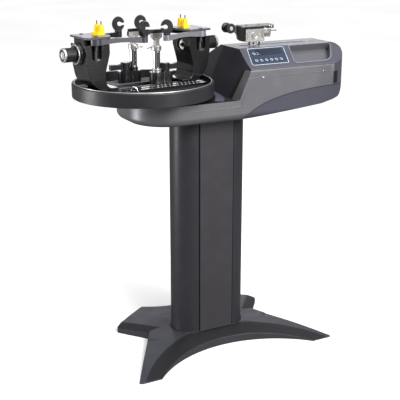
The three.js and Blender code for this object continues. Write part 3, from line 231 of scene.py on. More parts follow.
# Body shells
BODY_HALF = 159.4
BODY_WALL = 4
NOSE_X = -293
NOSE_RADIUS = 125
BODY_END_X = 465
BODY_END_RADIUS = 90
BODY_BOTTOM = 786
UNDER_ROUND = 24
UNDER_STEPS = 8
DECK_HEIGHT = 852
BELLY_START_X = 44
BELLY_MID = (345, 28)
BELLY_END = (424, 46)
END_FOOT = (17, 78)
BODY_TOP = 997
TOP_HALF = 60
SHOULDER_HEIGHT = 943
END_SHOULDER_HEIGHT = 955
END_FACE_TOP_X = 85
END_FACE_RUN = 65
END_CREASE_Y = 38
END_FOLD = (5, 112)
END_CORNER_BACK = 14
SIDE_ROUND = 10
END_ROUND = 34
TOP_END_ROUND = 26
PANEL_FOOT_X = 26
PANEL_HEAD_X = 68
PANEL_TOP_HEIGHT = 942
SIDE_END_X = 398
SIDE_END_TOP_X = 395
SWOOSH_BEND = (115, 868)
SWOOSH_END_HEIGHT = 873
SWOOSH_STEPS = 48
SEAM = 0.9
SHELL_EDGE = 1.4
SLOT_X = (121, 381)
SLOT_HALF = 8
SLOT_LIP = 2.2
BODY_SCREWS = ((117, 919), (349, 920))
BEVEL_LENGTH = math.hypot(BODY_HALF - TOP_HALF, BODY_TOP - SHOULDER_HEIGHT)

# Panel and tray on the front bevel, measured down from its top edge
PANEL_LEFT = 113
PANEL_WIDTH = 138
PANEL_START = 4
PANEL_MARGIN = 23.1
PANEL_DROP = BEVEL_LENGTH - PANEL_START - PANEL_MARGIN
PANEL_CORNER = 7
PANEL_THICK = 1.6
PANEL_LINE = 1.5
BEVEL_LEAN_SHARE = 0.27
WINDOW_INSET = 8
WINDOW_LEFT = 28
WINDOW_WIDTH = 96
WINDOW_DROP = 30
WINDOW_THICK = 1.2
KEY_MARGIN = 20
KEY_ROW = PANEL_DROP - KEY_MARGIN
KEY_RADIUS = 5.6
KEY_PITCH = 18.5
KEY_FIRST = 20
KEY_COUNT = 6
KEY_STAND = 2.2
KEY_DEPTH = 5
POWER_KEY = (10, 30)
TRAY_LEFT = 272
TRAY_WIDTH = 166
TRAY_START = 4
TRAY_MARGIN = 19.1
TRAY_DROP = BEVEL_LENGTH - TRAY_START - TRAY_MARGIN
TRAY_DEPTH = 24
TRAY_WALL = 2
TRAY_CORNER = 9
TRAY_BIG_CORNER = 48
TRAY_SHORTFALL = 26
TRAY_LIP = 2.6
KEY_RING = 0.9
KEY_RING_SHARE = 0.7
PANEL_MARKS = (9, 13)
MARK_PITCH = 7
MARK_HALF = 1.1
SLOT_DEEP = 22

# Mouldings and fasteners of the body
LINE_INSET = 16
LINE_DROP = 20
LINE_RADIUS = 1.0
LINE_BEND_SHARE = 0.7
SIDE_SCREW = (3.2, 1.2)
SMALL_SCREW = (2.0, 1.0)
END_FACING = 0.6
STRIP_X = SIDE_END_X - 9
STRIP_LOW = 874
STRIP_HIGH = 917
STRIP_WIDTH = 20
MOULDING_RADIUS = 226
MOULDING_WIDTH = 30
MOULDING_HEIGHT = 11
MOULDING_HALF_ANGLE = math.radians(36)
MOULDING_STEPS = 48
MOULDING_SHARES = ((0.8, 0.35), (0.45, 0.85))
MOULDING_CREST_SHARE = 0.2
MOULDING_SWELL = 0.5

# Turntable
TURNTABLE_X = -225
TURNTABLE_TURN = math.radians(7)
RIM_RADIUS = 223
RIM_TOP = 911
RIM_BOTTOM = 867
RIM_THICK = 10
RIM_ROUND = 7
PAN_FLOOR = 871
PAN_THICK = 6
HUB_RADIUS = 46
SPINDLE_RADIUS = 18
BEAD_RADIUS = 1.7
PAN_SIDES = 180
DECK_HALF = 112
DECK_RADIUS = 205
DECK_BOTTOM = 877.3
DECK_TOP = 893
RAIL_TOP = 902
RAIL_WIDTH = 13
RAIL_PITCH = 26
RAIL_INNER = 30
RAIL_REACH = 190
RAIL_CHANNEL = 5
RAIL_CHANNEL_DEPTH = 4
RACK_Y = 150
RACK_WIDTH = 34
RACK_LENGTH = 268
RACK_THICK = 12
RACK_SLOTS = 18
RACK_TICK = (3.4, 22, 1.6)
RACK_LEAN = math.radians(-28)
RACK_SLOT = (6, 22)
RAIL_ROWS = 3
TICK_HALF = (1.6, 6.8)
TICK_COUNT = 12
TICK_PITCH = 14.5
TICK_LEFT = 4
LATCHES = {"left": (-178, 78, 66), "right": (178, -78, 66)}
LATCH = (17, 9, 7)
LATCH_ROUND = 4
CLIP = (-88, -74)
CLIP_PATH = ((0, 0, 0), (0, 0, 10), (3, -3, 16), (11, -9, 15), (14, -14, 5), (15, -22, 0))
CLIP_RADIUS = 2.2

# Towers
TOWER_HALF = 48
TOWER_INNER = 142
TOWER_OUTER = 222
TOWER_TOP = 1040.7
WAIST_INNER = 158
WAIST_OUTER = 209
WAIST_HEIGHT = 955
FOOT_INNER = 116
FOOT_OUTER = 196
FOOT_HEIGHT = 7
PIN_OUT = 187
PIN_Y = 46
PIN_RADIUS = 5
ARM_BOTTOM = 1041
ARM_THICK = 17
POCKET_HALF = 17
POCKET_DEPTH = 13
POCKET_FLOOR = 994
SPINE_HALF = 26
PLATE_THICK = 6
PLATE_HALF = 54
PLATE_NOSE = 12
SCREW_HEIGHT = 1012
BOSS_RADIUS = 34
BOSS_THICK = 9
TOWER_SCREW_RADIUS = 6
WINDOW_RADIUS = 20
WINDOW_RECESS = 10
TOWER_EDGE = 3.2
KNOB_DISC = (30, 4)
KNOB_GRIP = (20, 32)
KNOB_CAP = (21.5, 8)
KNOB_DIMPLE = (13, 3)
KNOB_RIBS = 30
KNOB_RIB = (1.1, 1.6)
KNOB_RING_SHARES = (2.4, 2.6)
TOWER_SWEEP = 56
FOOT_SWEEP = 26
POCKET_EDGE = 2.2
SIDES = (("left", -1), ("right", 1))
ROWS = (("rear", 1), ("front", -1))

# Arms, hooks and guards
ARM_REACH = 150
ARM_ANGLE = 12
ARM_ROOT_RADIUS = 16
ARM_TIP_RADIUS = 11
ARM_NECK_HALF = 8
ARM_TIP_HALF = 7
HOOK_PIN_RADIUS = 4
HOOK_BASE = (11, 5)
HOOK_HALF_WIDTH = 19
HOOK_HEIGHT = 44
HOOK_THICK = 16
HOOK_POCKET = 7.5
HOOK_MOUTH = 4.2
HOOK_RISE = 24
ARM_ARCH = 5
ARM_FINISHES = {("front", "left"): ("arm", "gloss_alloy"), ("front", "right"): ("pale", "cast_alloy")}
ARM_BOLT = (5.5, 1.6)
HOOK_EDGE = 2.4
HOOK_FOOT_SHARE = 0.85
HOOK_TURNS = {"rear_left": -35, "rear_right": -35, "front_left": 21, "front_right": 145}
GUARD_OUT = 152
GUARD_LENGTH = 22
GUARD_HALF = 19
GUARD_THICK = 9
GUARD_TAIL = 13
PRONG_HALF = 5
PRONG_Y = 13
PRONG_HEIGHT = 21
GUARD_PIN = (1.6, 11)
GUARD_POST = (4, 5)

# String clamps
CLAMP_PLACES = {"left": (-1, 55, 0), "right": (38, -20, 180)}
CLAMP_LENGTH = 78
CLAMP_HALF = 21
CLAMP_HEIGHT = 36
CLAMP_POST_SHIFT = 16
CLAMP_HUB_SHIFT = 14
POST_RADIUS = 11
POST_TOP = 1004
SOCKET = (14, 10)
STEM = (6, 40)
LEVER_HUB = (15, 26)
LEVER_PIN_RADIUS = 5
LEVER_LENGTH = 56
LEVER_HALF = 6
LEVER_THICK = 17
LEVER_END_HALF = 8
COLLAR = (15, 15)
NECK_HALF = 7
NECK_HEIGHT = 26
COMB_HALF = 18
COMB_THICK = 13
COMB_HEIGHT = 13
COMB_TEETH = 5
TOOTH_HEIGHT = 9
TOOTH_SHARE = 0.5
STRING_GAP = 2.2
CAM_PIN_RADIUS = 2.5
CAM_ARM = (22, 1.8)
CAM_HUB = (5, 9)
# Groove and dark strip down each post: the strip is a painted dark reflection on the chrome
PAINTED_REFLECTION_STRIPE = (1.6, 1.2)
PAINTED_REFLECTION_TURNS = {"left": -100, "right": 80}
KNURL_COUNT = 28
SOLE_SHARE = 0.06
KNURL = (0.6, 0.9)

# Tension head
GRIPPER_X = (138, 209)
GRIPPER_Z = (1009.3, 1057)
GRIPPER_HALF = 14
GRIPPER_FRAME = 5
GRIPPER_BOSS = (11, 3)
BOSS_DIMPLE = 0.8
INNER_FRAME_SHARES = (1.4, 1.8)
FRAME_ROUND = 2
GRIPPER_SCREW = (1.6, 0.7)
SIDE_PLATE_LEFT = 121
SIDE_PLATE_BOTTOM = 1012
SIDE_PLATE_STEP = 22
PLATE_GROOVE_DEPTH = 1
PLATE_SCREW_INSET = 12
HEAD_PLATE_THICK = 5
HEAD_PLATE_RIGHT = 245
HEAD_LUG = (20, 8)
WEB_THICK = 5
WEB_FOOT = 1014
ROLLER_X = 80
ROLLER_HEIGHT = 1057
ROLLER_RADIUS = 16
ROLLER_CORE = 10
ROLLER_FLANGE = 7
ROLLER_LENGTH = 38
ROLLER_AXLE = 3.5
ROLLER_EYE = 9
JAW_PIVOT = (218, 1040)
JAW_LEFT = 212
JAW_HALF = 9
JAW_WIDTH = 27
JAW_DROP = 22
JAW_TOP = 1044
JAW_TAIL = (24, 1.8)
JAW_PIN_RADIUS = 3
JAW_EYE = 6
TRIGGER = (197, 2)
SPOOL_CAP = (6.5, 1.6)
BRACKET_DROP = 7
BRACKET_INSET = 3
JAW_GROOVES = 5
JAW_RIB_HALF = 0.5
JAW_RIB_SPAN = (2, 12)
JAW_RIB_DEPTH = 0.7
JAW_CAP_THICK = 0.8
JAW_TAIL_SHARE = 0.7
HEAD_BOLT = (3.6, 1.4)
BOLT_SHARES = (0.35, 0.8)

# Power inlet and switch at the back
INLET_X = 300
INLET_HEIGHT = 910
INLET_HALF = (15, 11)
INLET_FLANGE = (5, 2)
SWITCH_X = 345
SWITCH_HALF = (8, 12)
VENT_COUNT = 14
VENT_PITCH = 9
VENT_SIZE = (3, 34)
VENT_LEAN = math.radians(12)
VENT_LEFT = 96


# A number that comes from a node's socket and takes part in sums
class Value:
    def __init__(self, paint, socket):
        self.paint = paint
        self.socket = socket

    def worked(self, operation, *values):
        settings = {"operation": operation}
        return self.paint.node("ShaderNodeMath", settings, dict(enumerate(values)))["Value"]

    def __add__(self, other):
        return self.worked("ADD", self, other)

    def __radd__(self, other):
        return self.worked("ADD", other, self)

    def __sub__(self, other):
        return self.worked("SUBTRACT", self, other)

    def __rsub__(self, other):
        return self.worked("SUBTRACT", other, self)

    def __mul__(self, other):
        return self.worked("MULTIPLY", self, other)

    def __rmul__(self, other):
        return self.worked("MULTIPLY", other, self)

    def __lt__(self, other):
        return self.worked("LESS_THAN", self, other)

    def __gt__(self, other):
        return self.worked("GREATER_THAN", self, other)


# A node material that is built up from its finish's values
class Paint:
    def __init__(self, name):
        self.material = bpy.data.materials.new(name)
        self.material.use_nodes = True
        self.tree = self.material.node_tree
        self.tree.nodes.clear()
        self.surface = self.tree.nodes.new("ShaderNodeBsdfPrincipled")
        output = self.tree.nodes.new("ShaderNodeOutputMaterial")
        self.tree.links.new(self.surface.outputs["BSDF"], output.inputs["Surface"])
        self.place = self.node("ShaderNodeTexCoord")["Object"]

    def feed(self, socket, value):
        if isinstance(value, Value):
            self.tree.links.new(value.socket, socket)
        else:
            socket.default_value = value

    def node(self, kind, settings=None, values=None):
        made = self.tree.nodes.new(kind)
        for key, setting in (settings or {}).items():
            if key == "stops":
                self.ramp(made.color_ramp, setting)
            else:
                setattr(made, key, setting)
        by_name = {socket.identifier: socket for socket in made.inputs}
        for key, value in (values or {}).items():
            self.feed(made.inputs[key] if isinstance(key, int) else by_name[key], value)
        return {socket.identifier: Value(self, socket) for socket in made.outputs}

    def ramp(self, ramp, stops):
        while len(ramp.elements) < len(stops):
            ramp.elements.new(1)
        for element, (place, colour) in zip(ramp.elements, stops):
            element.position = place
            element.color = colour

    def spread(self, scale):
        values = {"Vector": self.place, "Scale": scale}
        return self.node("ShaderNodeMapping", {"vector_type": "POINT"}, values)["Vector"]

    def noise(self, scale, detail=2, place=None):
        values = {"Vector": place or self.place, "Scale": scale, "Detail": detail}
        return self.node("ShaderNodeTexNoise", {}, values)["Fac"]

    def mixed(self, mask, first, second):
        values = {"Factor_Float": mask, "A_Color": first, "B_Color": second}
        return self.node("ShaderNodeMix", {"data_type": "RGBA"}, values)["Result_Color"]

    def eased(self, value, low, high, start=0.0, end=1.0):
        values = {"Value": value, "From Min": low, "From Max": high, "To Min": start, "To Max": end}
        return self.node("ShaderNodeMapRange", {}, values)["Result"]

    def bumped(self, height, strength, depth):
        values = {"Height": height, "Strength": strength, "Distance": depth}
        return self.node("ShaderNodeBump", {}, values)["Normal"]

    def shade(self, **looks):
        for name, value in looks.items():
            self.feed(self.surface.inputs[name.replace("_", " ")], value)
        return self.material


def tone(red, green, blue):
    def linear(share):
        lift, span, power = TONE_CURVE
        return share / TONE_FOOT[1] if share <= TONE_FOOT[0] else ((share + lift) / span) ** power
    return (*[linear(part / WHITE) for part in (red, green, blue)], 1)


def scaled(colour, share):
    return tuple(part * share for part in colour[:3]) + (1,)


# Roughness that a pattern spreads to both sides of its value
def worn(paint, pattern, band, rough, spread):
    return paint.eased(pattern, *band, rough - spread[0], rough + spread[1])


# Powder coat and moulded plastic: a fine grain, a slow drift of tone and rubbed spots
def coated(name, colour, rough, grain=900, depth=0.05, drift=0.14, metallic=0.0, coat=0.0):
    paint = Paint(name)
    cloud = paint.noise(*COAT_CLOUD)
    speck = paint.noise(grain)
    shade = paint.eased(cloud * COAT_SHARES[0] + speck * COAT_SHARES[1], *MIDDLE_BAND)
    return paint.shade(
        Base_Color=paint.mixed(shade, scaled(colour, 1 - drift), scaled(colour, 1 + drift)),
        Roughness=worn(paint, paint.noise(*COAT_WEAR), COAT_BAND, rough, COAT_SPREAD),
        Metallic=metallic,
        Coat_Weight=coat,
        Coat_Roughness=COAT_CLEAR,
        Normal=paint.bumped(speck, COAT_BUMP, depth * MM),
    )


# Gloss paint over a casting: clear coat, slight orange peel and faint dust
def glossy(name, colour, rough=0.2, coat=0.6):
    paint = Paint(name)
    dust = paint.eased(paint.noise(*GLOSS_DUST), *DUST_BAND, 0, DUST_MOST)
    return paint.shade(
        Base_Color=paint.mixed(dust, colour, scaled(colour, DUST_TONE)),
        Roughness=worn(paint, paint.noise(*GLOSS_WEAR), GLOSS_BAND, rough, GLOSS_SPREAD),
        Coat_Weight=coat,
        Coat_Roughness=GLOSS_CLEAR,
        Normal=paint.bumped(paint.noise(*GLOSS_PEEL), GLOSS_BUMP, PEEL_DEPTH * MM),
    )


# Worked metal: streaks along one direction, blasted grain or a bright plating
def metal(name, colour, rough, streak=(1, 1, 1), grain=700, depth=0.02, drift=0.1, metallic=1.0):
    paint = Paint(name)
    lines = paint.noise(grain, METAL_DETAIL, paint.spread(streak))
    cloud = paint.noise(*METAL_CLOUD)
    shade = paint.eased(lines * METAL_SHARES[0] + cloud * METAL_SHARES[1], *MIDDLE_BAND)
    return paint.shade(
        Base_Color=paint.mixed(shade, scaled(colour, 1 - drift), scaled(colour, 1 + drift)),
        Roughness=worn(paint, lines, MIDDLE_BAND, rough, METAL_SPREAD),
        Metallic=metallic,
        Normal=paint.bumped(lines, METAL_BUMP, depth * MM),
    )


# Rubber and soft plastic: matt with a worn bloom
def soft(name, colour, rough=0.7):
    paint = Paint(name)
    bloom = paint.eased(paint.noise(*SOFT_BLOOM), *SOFT_BAND)
    return paint.shade(
        Base_Color=paint.mixed(bloom, colour, scaled(colour, BLOOM_TONE)),
        Roughness=worn(paint, bloom, (0, 1), rough, SOFT_SPREAD),
        Normal=paint.bumped(paint.noise(*SOFT_GRAIN), SOFT_BUMP, BLOOM_DEPTH * MM),
    )


# Printed film of the panel: dark blue, with a painted reflection of the room that pales it along a slanted
# band
def film(name, low, high, rough, grain=0.03):
    paint = Paint(name)
    parts = paint.node("ShaderNodeSeparateXYZ", {}, {"Vector": paint.place})
    sweep = parts["X"] * PAINTED_REFLECTION_RUN[0] - parts["Z"] * PAINTED_REFLECTION_RUN[1]
    painted_reflection = paint.eased(sweep + paint.noise(*FILM_WAVE) * FILM_WAVE_SHARE, *PAINTED_REFLECTION_BAND)
    return paint.shade(
        Base_Color=paint.mixed(painted_reflection, low, high),
        Roughness=worn(paint, paint.noise(*FILM_WEAR), MIDDLE_BAND, rough, FILM_SPREAD),
        Coat_Weight=FILM_COAT,
        Coat_Roughness=FILM_CLEAR,
        Normal=paint.bumped(paint.noise(*FILM_GRAIN), FILM_BUMP, grain * MM),
    )


CHARCOAL = tone(56, 56, 65)
COLUMN_GREY = tone(58, 58, 63)
PLATE_GREY = tone(72, 70, 74)
SLATE = tone(74, 75, 86)
SIDE_GREY = tone(118, 117, 121)
PAINTED_SHADE_BEVEL_GREY = tone(30, 30, 34)
PAINTED_LIGHT_SKIRT_GREY = tone(74, 74, 79)
PAINTED_SHADE_END_SLATE = tone(40, 40, 48)
BLACK = tone(20, 20, 22)
DEEP_BLACK = tone(9, 9, 10)
SOFT_BLACK = tone(34, 34, 37)
RIM_GREY = tone(52, 52, 56)
SILVER = tone(196, 193, 190)
WARM_GREY = tone(150, 147, 144)
PALE_STEEL = tone(222, 223, 226)
YELLOW = tone(252, 214, 30)
FILM_DARK = tone(38, 48, 66)
FILM_DEEP = tone(24, 28, 38)
PRINT = tone(214, 222, 234)
PAINTED_HIGHLIGHT_GREY = tone(150, 152, 166)
CHANNEL_BLACK = tone(26, 26, 29)
PALE_ARM = tone(150, 149, 158)
RAIL_STEEL = tone(112, 112, 118)
ARM_GREY = tone(96, 96, 100)
PLATE_TOP = tone(92, 92, 101)
NICKEL = tone(120, 118, 116)
TUB_GREY = tone(88, 88, 93)

finishes = {
    "base": coated("textured charcoal coat", CHARCOAL, 0.46, 700, 0.12, 0.16, 0.25),
    # A darker copy of the base coat: painted shade on the base's forward bevels
    "bevel": coated("dark bevel coat", PAINTED_SHADE_BEVEL_GREY, 0.5, 700, 0.12, 0.16, 0.25),
    # A lighter copy of the base coat: painted light on the base's steep sides
    "painted_light_skirt": coated("rubbed skirt coat", PAINTED_LIGHT_SKIRT_GREY, 0.42, 700, 0.12, 0.16, 0.4),
    # A darker copy of the slate: painted shade on the top shell's end face
    "shade": coated("dark end plastic", PAINTED_SHADE_END_SLATE, 0.48, 1500, 0.04, 0.08, 0.1),
    "column": coated("column coat", COLUMN_GREY, 0.42, 1100, 0.05, 0.08, 0.35),
    "plate": coated("column plate coat", PLATE_GREY, 0.44, 1100, 0.05, 0.08, 0.4),
    "slate": coated("slate body plastic", SLATE, 0.4, 1500, 0.04, 0.08, 0.15, 0.15),
    "side": coated("grained grey side panel", SIDE_GREY, 0.44, 620, 0.14, 0.2, 0.55),
    "rim": coated("turntable rim coat", RIM_GREY, 0.42, 800, 0.07, 0.12, 0.4),
    "tray": coated("black tray plastic", BLACK, 0.38, 1300, 0.05, 0.2, 0.0, 0.2),
    "gloss": glossy("gloss black casting", BLACK, 0.22, 0.7),
    "deep": coated("shadow black", DEEP_BLACK, 0.6, 900, 0.03, 0.2),
    "knob": coated("moulded black knob", BLACK, 0.4, 1200, 0.05, 0.25),
    "lever": coated("dark grey lever", SOFT_BLACK, 0.36, 900, 0.05, 0.2, 0.3, 0.3),
    "hook": soft("hook plastic", SOFT_BLACK, 0.62),
    "rubber": soft("drive rubber", DEEP_BLACK, 0.8),
    "silver": metal("satin silver alloy", SILVER, 0.34, (1, 1, 1), 900, 0.03, 0.08, 0.85),
    "rail": metal("ground rail", RAIL_STEEL, 0.3, (0.04, 1, 1), 500, 0.004, 0.08),
    "inlay": metal("bright inlay", PALE_STEEL, 0.36, (1, 1, 1), 500, 0.004, 0.08, 0.8),
    "cast": metal("grey cast alloy", WARM_GREY, 0.38, (1, 1, 1), 700, 0.05, 0.12, 0.75),
    "chrome": metal("plated steel", PALE_STEEL, 0.08, (1, 1, 0.05), 600, 0.006, 0.04),
    "yellow": coated("yellow moulding", YELLOW, 0.42, 900, 0.06, 0.05, 0.0, 0.2),
    # Panel film and display window, each with a painted reflection
    "film": film("panel film", FILM_DARK, scaled(FILM_DARK, 1.35), 0.24),
    "window": film("display window", FILM_DEEP, FILM_DARK, 0.16, 0.005),
    "print": coated("pale printed line", PRINT, 0.4, 1200, 0.02, 0.05),
    "tub": coated("grey tray plastic", TUB_GREY, 0.4, 1300, 0.05, 0.1, 0.0, 0.2),
    "key": coated("key cap", scaled(FILM_DARK, 1.6), 0.34, 1200, 0.03, 0.1, 0.0, 0.4),
    # A pale copy of the slate: painted highlight along the tray rim and the slot lip
    "edge": coated("pale moulded edge", PAINTED_HIGHLIGHT_GREY, 0.3, 1200, 0.03, 0.06, 0.2, 0.4),
    "trough": coated("black anodised deck", CHANNEL_BLACK, 0.5, 900, 0.03, 0.15),
    "pale": coated("pale grey arm", PALE_ARM, 0.34, 700, 0.04, 0.08, 0.5, 0.2),
    "arm": metal("grey painted arm", ARM_GREY, 0.36, (1, 1, 1), 500, 0.04, 0.12, 0.7),
    "top": coated("grey tower plate", PLATE_TOP, 0.36, 700, 0.05, 0.08, 0.6, 0.2),
    "nickel": metal("dark nickel plate", NICKEL, 0.22, (1, 1, 0.1), 500, 0.02, 0.1),
    "wire": metal("blackened wire", scaled(WARM_GREY, 0.16), 0.35, (1, 1, 1), 900, 0.02, 0.1, 0.8),
}


# Outlines whose corners (x, y, radius) are true arcs, held to the room of their edges
def rounded(corners, fine=FINE_ARC):
    points = []
    count = len(corners)
    for i, corner in enumerate(corners):
        here = Vector(corner[:2])
        radius = corner[2] if len(corner) > 2 else 0
        if not radius:
            points.append(tuple(here))
            continue
        rays = []
        rooms = []
        for step in (-1, 1):
            near = corners[(i + step) % count]
            ray = Vector(near[:2]) - here
            shared = len(near) > 2 and near[2]
            rooms.append(ray.length * (CORNER_SHARE / 2 if shared else CORNER_SHARE))
            rays.append(ray.normalized())
        half = rays[0].angle(rays[1]) / 2
        run = min(radius / math.tan(half), *rooms)
        bend = run * math.tan(half)
        centre = here + (rays[0] + rays[1]).normalized() * (bend / math.sin(half))
        start = here + rays[0] * run - centre
        turn = math.pi - 2 * half
        side = math.copysign(1, rays[0].cross(rays[1]))
        steps = max(LEAST_STEPS, math.ceil(turn / (fine if bend > OVERRUN else 3 * fine)))
        for k in range(steps + 1):
            point = Matrix.Rotation(-side * turn * k / steps, 2) @ start + centre
            points.append(tuple(point))
    return points


def oblong(left, right, low, high, radius=0):
    return rounded([(left, low, radius), (right, low, radius), (right, high, radius), (left, high, radius)])


def centred(half_x, half_y, radius=0):
    return oblong(-half_x, half_x, -half_y, half_y, radius)


def circle(x, y, radius, sides=ROUND_SIDES):
    turns = [2 * math.pi * (k + 0.5) / sides for k in range(sides)]
    return [(x + radius * math.cos(turn), y + radius * math.sin(turn)) for turn in turns]


# Meshes as objects, still in millimetres
def shown(name, data):
    made = bpy.data.objects.new(name, data)
    bpy.context.scene.collection.objects.link(made)
    return made


def held(mesh, name="form"):
    bmesh.ops.recalc_face_normals(mesh, faces=mesh.faces)
    data = bpy.data.meshes.new(name)
    mesh.to_mesh(data)
    mesh.free()
    return shown(name, data)


def turned_to(axis):
    places = {"z": lambda a, b, c: (a, b, c), "y": lambda a, b, c: (a, c, b), "x": lambda a, b, c: (c, a, b)}
    return places[axis]


# Two levels on one side of the middle, the lower one first
def spanned(side, near, far):
    return sorted((side * near, side * far))


def band(mesh, first, second):
    count = len(first)
    for k in range(count):
        after = (k + 1) % count
        mesh.faces.new((first[k], first[after], second[after], second[k]))


def prism(points, low, high, axis="z"):
    at = turned_to(axis)
    mesh = bmesh.new()
    rings = [[mesh.verts.new(at(x, y, level)) for x, y in points] for level in (low, high)]
    mesh.faces.new(rings[0])
    mesh.faces.new(rings[1])
    band(mesh, *rings)
    return held(mesh)


def box(x0, x1, y0, y1, z0, z1):
    return prism(oblong(x0, x1, y0, y1), z0, z1)


def bar(x, y, radius, low, high, axis="z", sides=ROUND_SIDES):
    low, high = sorted((low, high))
    return prism(circle(x, y, radius, sides), low, high, axis)


def lofted(rings, closed=False):
    mesh = bmesh.new()
    rows = [[mesh.verts.new(point) for point in ring] for ring in rings]
    for first, second in zip(rows, [*rows[1:], rows[0]] if closed else rows[1:]):
        band(mesh, first, second)
    if not closed:
        mesh.faces.new(rows[0])
        mesh.faces.new(rows[-1])
    return held(mesh)


# A closed profile (radius, height) turned about an axis through (a, b)
def turned(profile, a=0, b=0, axis="z", sides=ROUND_SIDES):
    at = turned_to(axis)
    rings = []
    for k in range(sides):
        angle = 2 * math.pi * k / sides
        rings.append([at(a + r * math.cos(angle), b + r * math.sin(angle), h) for r, h in profile])
    made = lofted(rings, closed=True)
    merge(made)
    return made


# A profile with rounded corners (radius, height, round), turned in the same way
def lathe(corners, *place, **sides):
    return turned(rounded(corners), *place, **sides)


# A round pin or tube between two levels, with the rounds of its four edges
def stub(inner, outer, low, high, edges, *place, **sides):
    corners = [(inner, low), (outer, low), (outer, high), (inner, high)]
    return lathe([(*corner, edge) for corner, edge in zip(corners, edges)], *place, **sides)


def merge(made, distance=WELD):
    mesh = bmesh.new()
    mesh.from_mesh(made.data)
    bmesh.ops.remove_doubles(mesh, verts=mesh.verts, dist=distance)
    bmesh.ops.dissolve_degenerate(mesh, edges=mesh.edges, dist=distance)
    bmesh.ops.recalc_face_normals(mesh, faces=mesh.faces)
    mesh.to_mesh(made.data)
    mesh.free()
    return made


# A round rod along a run of points
def rod(points, radius, sides=ROD_SIDES):
    points = [Vector(point) for point in points]
    rings = []
    across = None
    for i, here in enumerate(points):
        ahead = (points[min(i + 1, len(points) - 1)] - points[max(i - 1, 0)]).normalized()
        if across is None:
            across = ahead.orthogonal().normalized()
        across = (across - ahead * across.dot(ahead)).normalized()
        over = ahead.cross(across)
        turns = [2 * math.pi * k / sides for k in range(sides)]
        rings.append([here + (across * math.cos(t) + over * math.sin(t)) * radius for t in turns])
    return lofted(rings)


# A smooth curve through the given points
def smooth_path(corners, steps=PATH_STEPS):
    points = [Vector(corner) for corner in corners]
    path = []
    padded = [points[0], *points, points[-1]]
    for a, b, c, d in zip(padded, padded[1:], padded[2:], padded[3:]):
        for k in range(steps):
            t = k / steps
            bend = (2 * a - 5 * b + 4 * c - d) * t * t + (3 * b - a - 3 * c + d) * t ** 3
            path.append((2 * b + (c - a) * t + bend) / 2)
    path.append(points[-1])
    return path


def settle(made):
    bpy.context.view_layer.update()
    graph = bpy.context.evaluated_depsgraph_get()
    data = bpy.data.meshes.new_from_object(made.evaluated_get(graph))
    made.modifiers.clear()
    made.data = data
    return made


def combine(body, tools, operation):
    for tool in tools:
        change = body.modifiers.new("form", "BOOLEAN")
        change.operation = operation
        change.solver = "MANIFOLD"
        change.object = tool
    settle(body)
    for tool in tools:
        bpy.data.objects.remove(tool)
    return body


def cut(body, *tools):
    return combine(body, tools, "DIFFERENCE")


def join(body, *tools):
    return combine(body, tools, "UNION")


def common(body, *tools):
    return combine(body, tools, "INTERSECT")


def together(*bodies):
    first, *rest = bodies
    mesh = bmesh.new()
    for body in bodies:
        mesh.from_mesh(body.data)
    mesh.to_mesh(first.data)
    mesh.free()
    for body in rest:
        bpy.data.objects.remove(body)
    return first


def moved(made, matrix):
    made.data.transform(matrix)
    if matrix.determinant() < 0:
        made.data.flip_normals()
    return made


# Worn edges: a narrow round on every real edge, with level faces kept level
def eased(made, width=PLAIN_EDGE, segments=EDGE_STEPS, angle=EDGE_ANGLE):
    mesh = bmesh.new()
    mesh.from_mesh(made.data)
    bmesh.ops.remove_doubles(mesh, verts=mesh.verts, dist=4 * WELD)
    bmesh.ops.dissolve_limit(
        mesh,
        angle_limit=math.radians(LEVEL_ANGLE),
        verts=mesh.verts,
        edges=mesh.edges,
        delimit={"NORMAL"},
    )
    mesh.to_mesh(made.data)
    mesh.free()
    if width:
        bevel = made.modifiers.new("edge", "BEVEL")
        bevel.width = width
        bevel.segments = segments
        bevel.limit_method = "ANGLE"
        bevel.angle_limit = math.radians(angle)
        bevel.miter_outer = "MITER_ARC"
        bevel.use_clamp_overlap = True
    return shaded(made)


def shaded(made, angle=SHADE_ANGLE):
    settle(made)
    made.data.shade_smooth()
    made.data.set_sharp_from_angle(angle=math.radians(angle))
    weight = made.modifiers.new("shade", "WEIGHTED_NORMAL")
    weight.keep_sharp = True
    weight.weight = SHADE_WEIGHT
    return settle(made)


turntable_place = Matrix.Translation((TURNTABLE_X, 0, 0)) @ Matrix.Rotation(TURNTABLE_TURN, 4, "Z")


def spot(x, y, turn=0):
    return Matrix.Translation((x, y, 0)) @ Matrix.Rotation(math.radians(turn), 4, "Z")


# Moves a form from the turntable's own frame to its place on the machine
def placed(made, place=spot(0, 0)):
    return moved(made, turntable_place @ place)


# A finished piece: in metres, in its finish, riding on its body
def fit(made, name, finish, body, slot, *nodes):
    made.data.transform(Matrix.Scale(MM, 4))
    made.name = name
    made.data.name = name
    made.data.materials.clear()
    made.data.materials.append(finishes[finish])
    for face in made.data.polygons:
        face.material_index = 0
    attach(made, body)
    if nodes:
        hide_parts(*nodes)
    return made


# A second finish on the faces that a test of centre and normal picks
def tinted(made, finish, test):
    made.data.materials.append(finishes[finish])
    last = len(made.data.materials) - 1
    for face in made.data.polygons:
        if test(face.center / MM, face.normal):
            face.material_index = last
    return made


# A copy of a CAD node in millimetres, with its edges eased
def refined(node, width):
    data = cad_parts[node].data.copy()
    data.transform(Matrix.Scale(1 / MM, 4))
    return eased(merge(shown(node, data), 2 * WELD), width)


# Geometry Nodes trees that set one shape out in a row, round a ring or on given points
def linked(tree, *links):
    for source, output, target, entry in links:
        tree.links.new(source.outputs[output], target.inputs[entry])


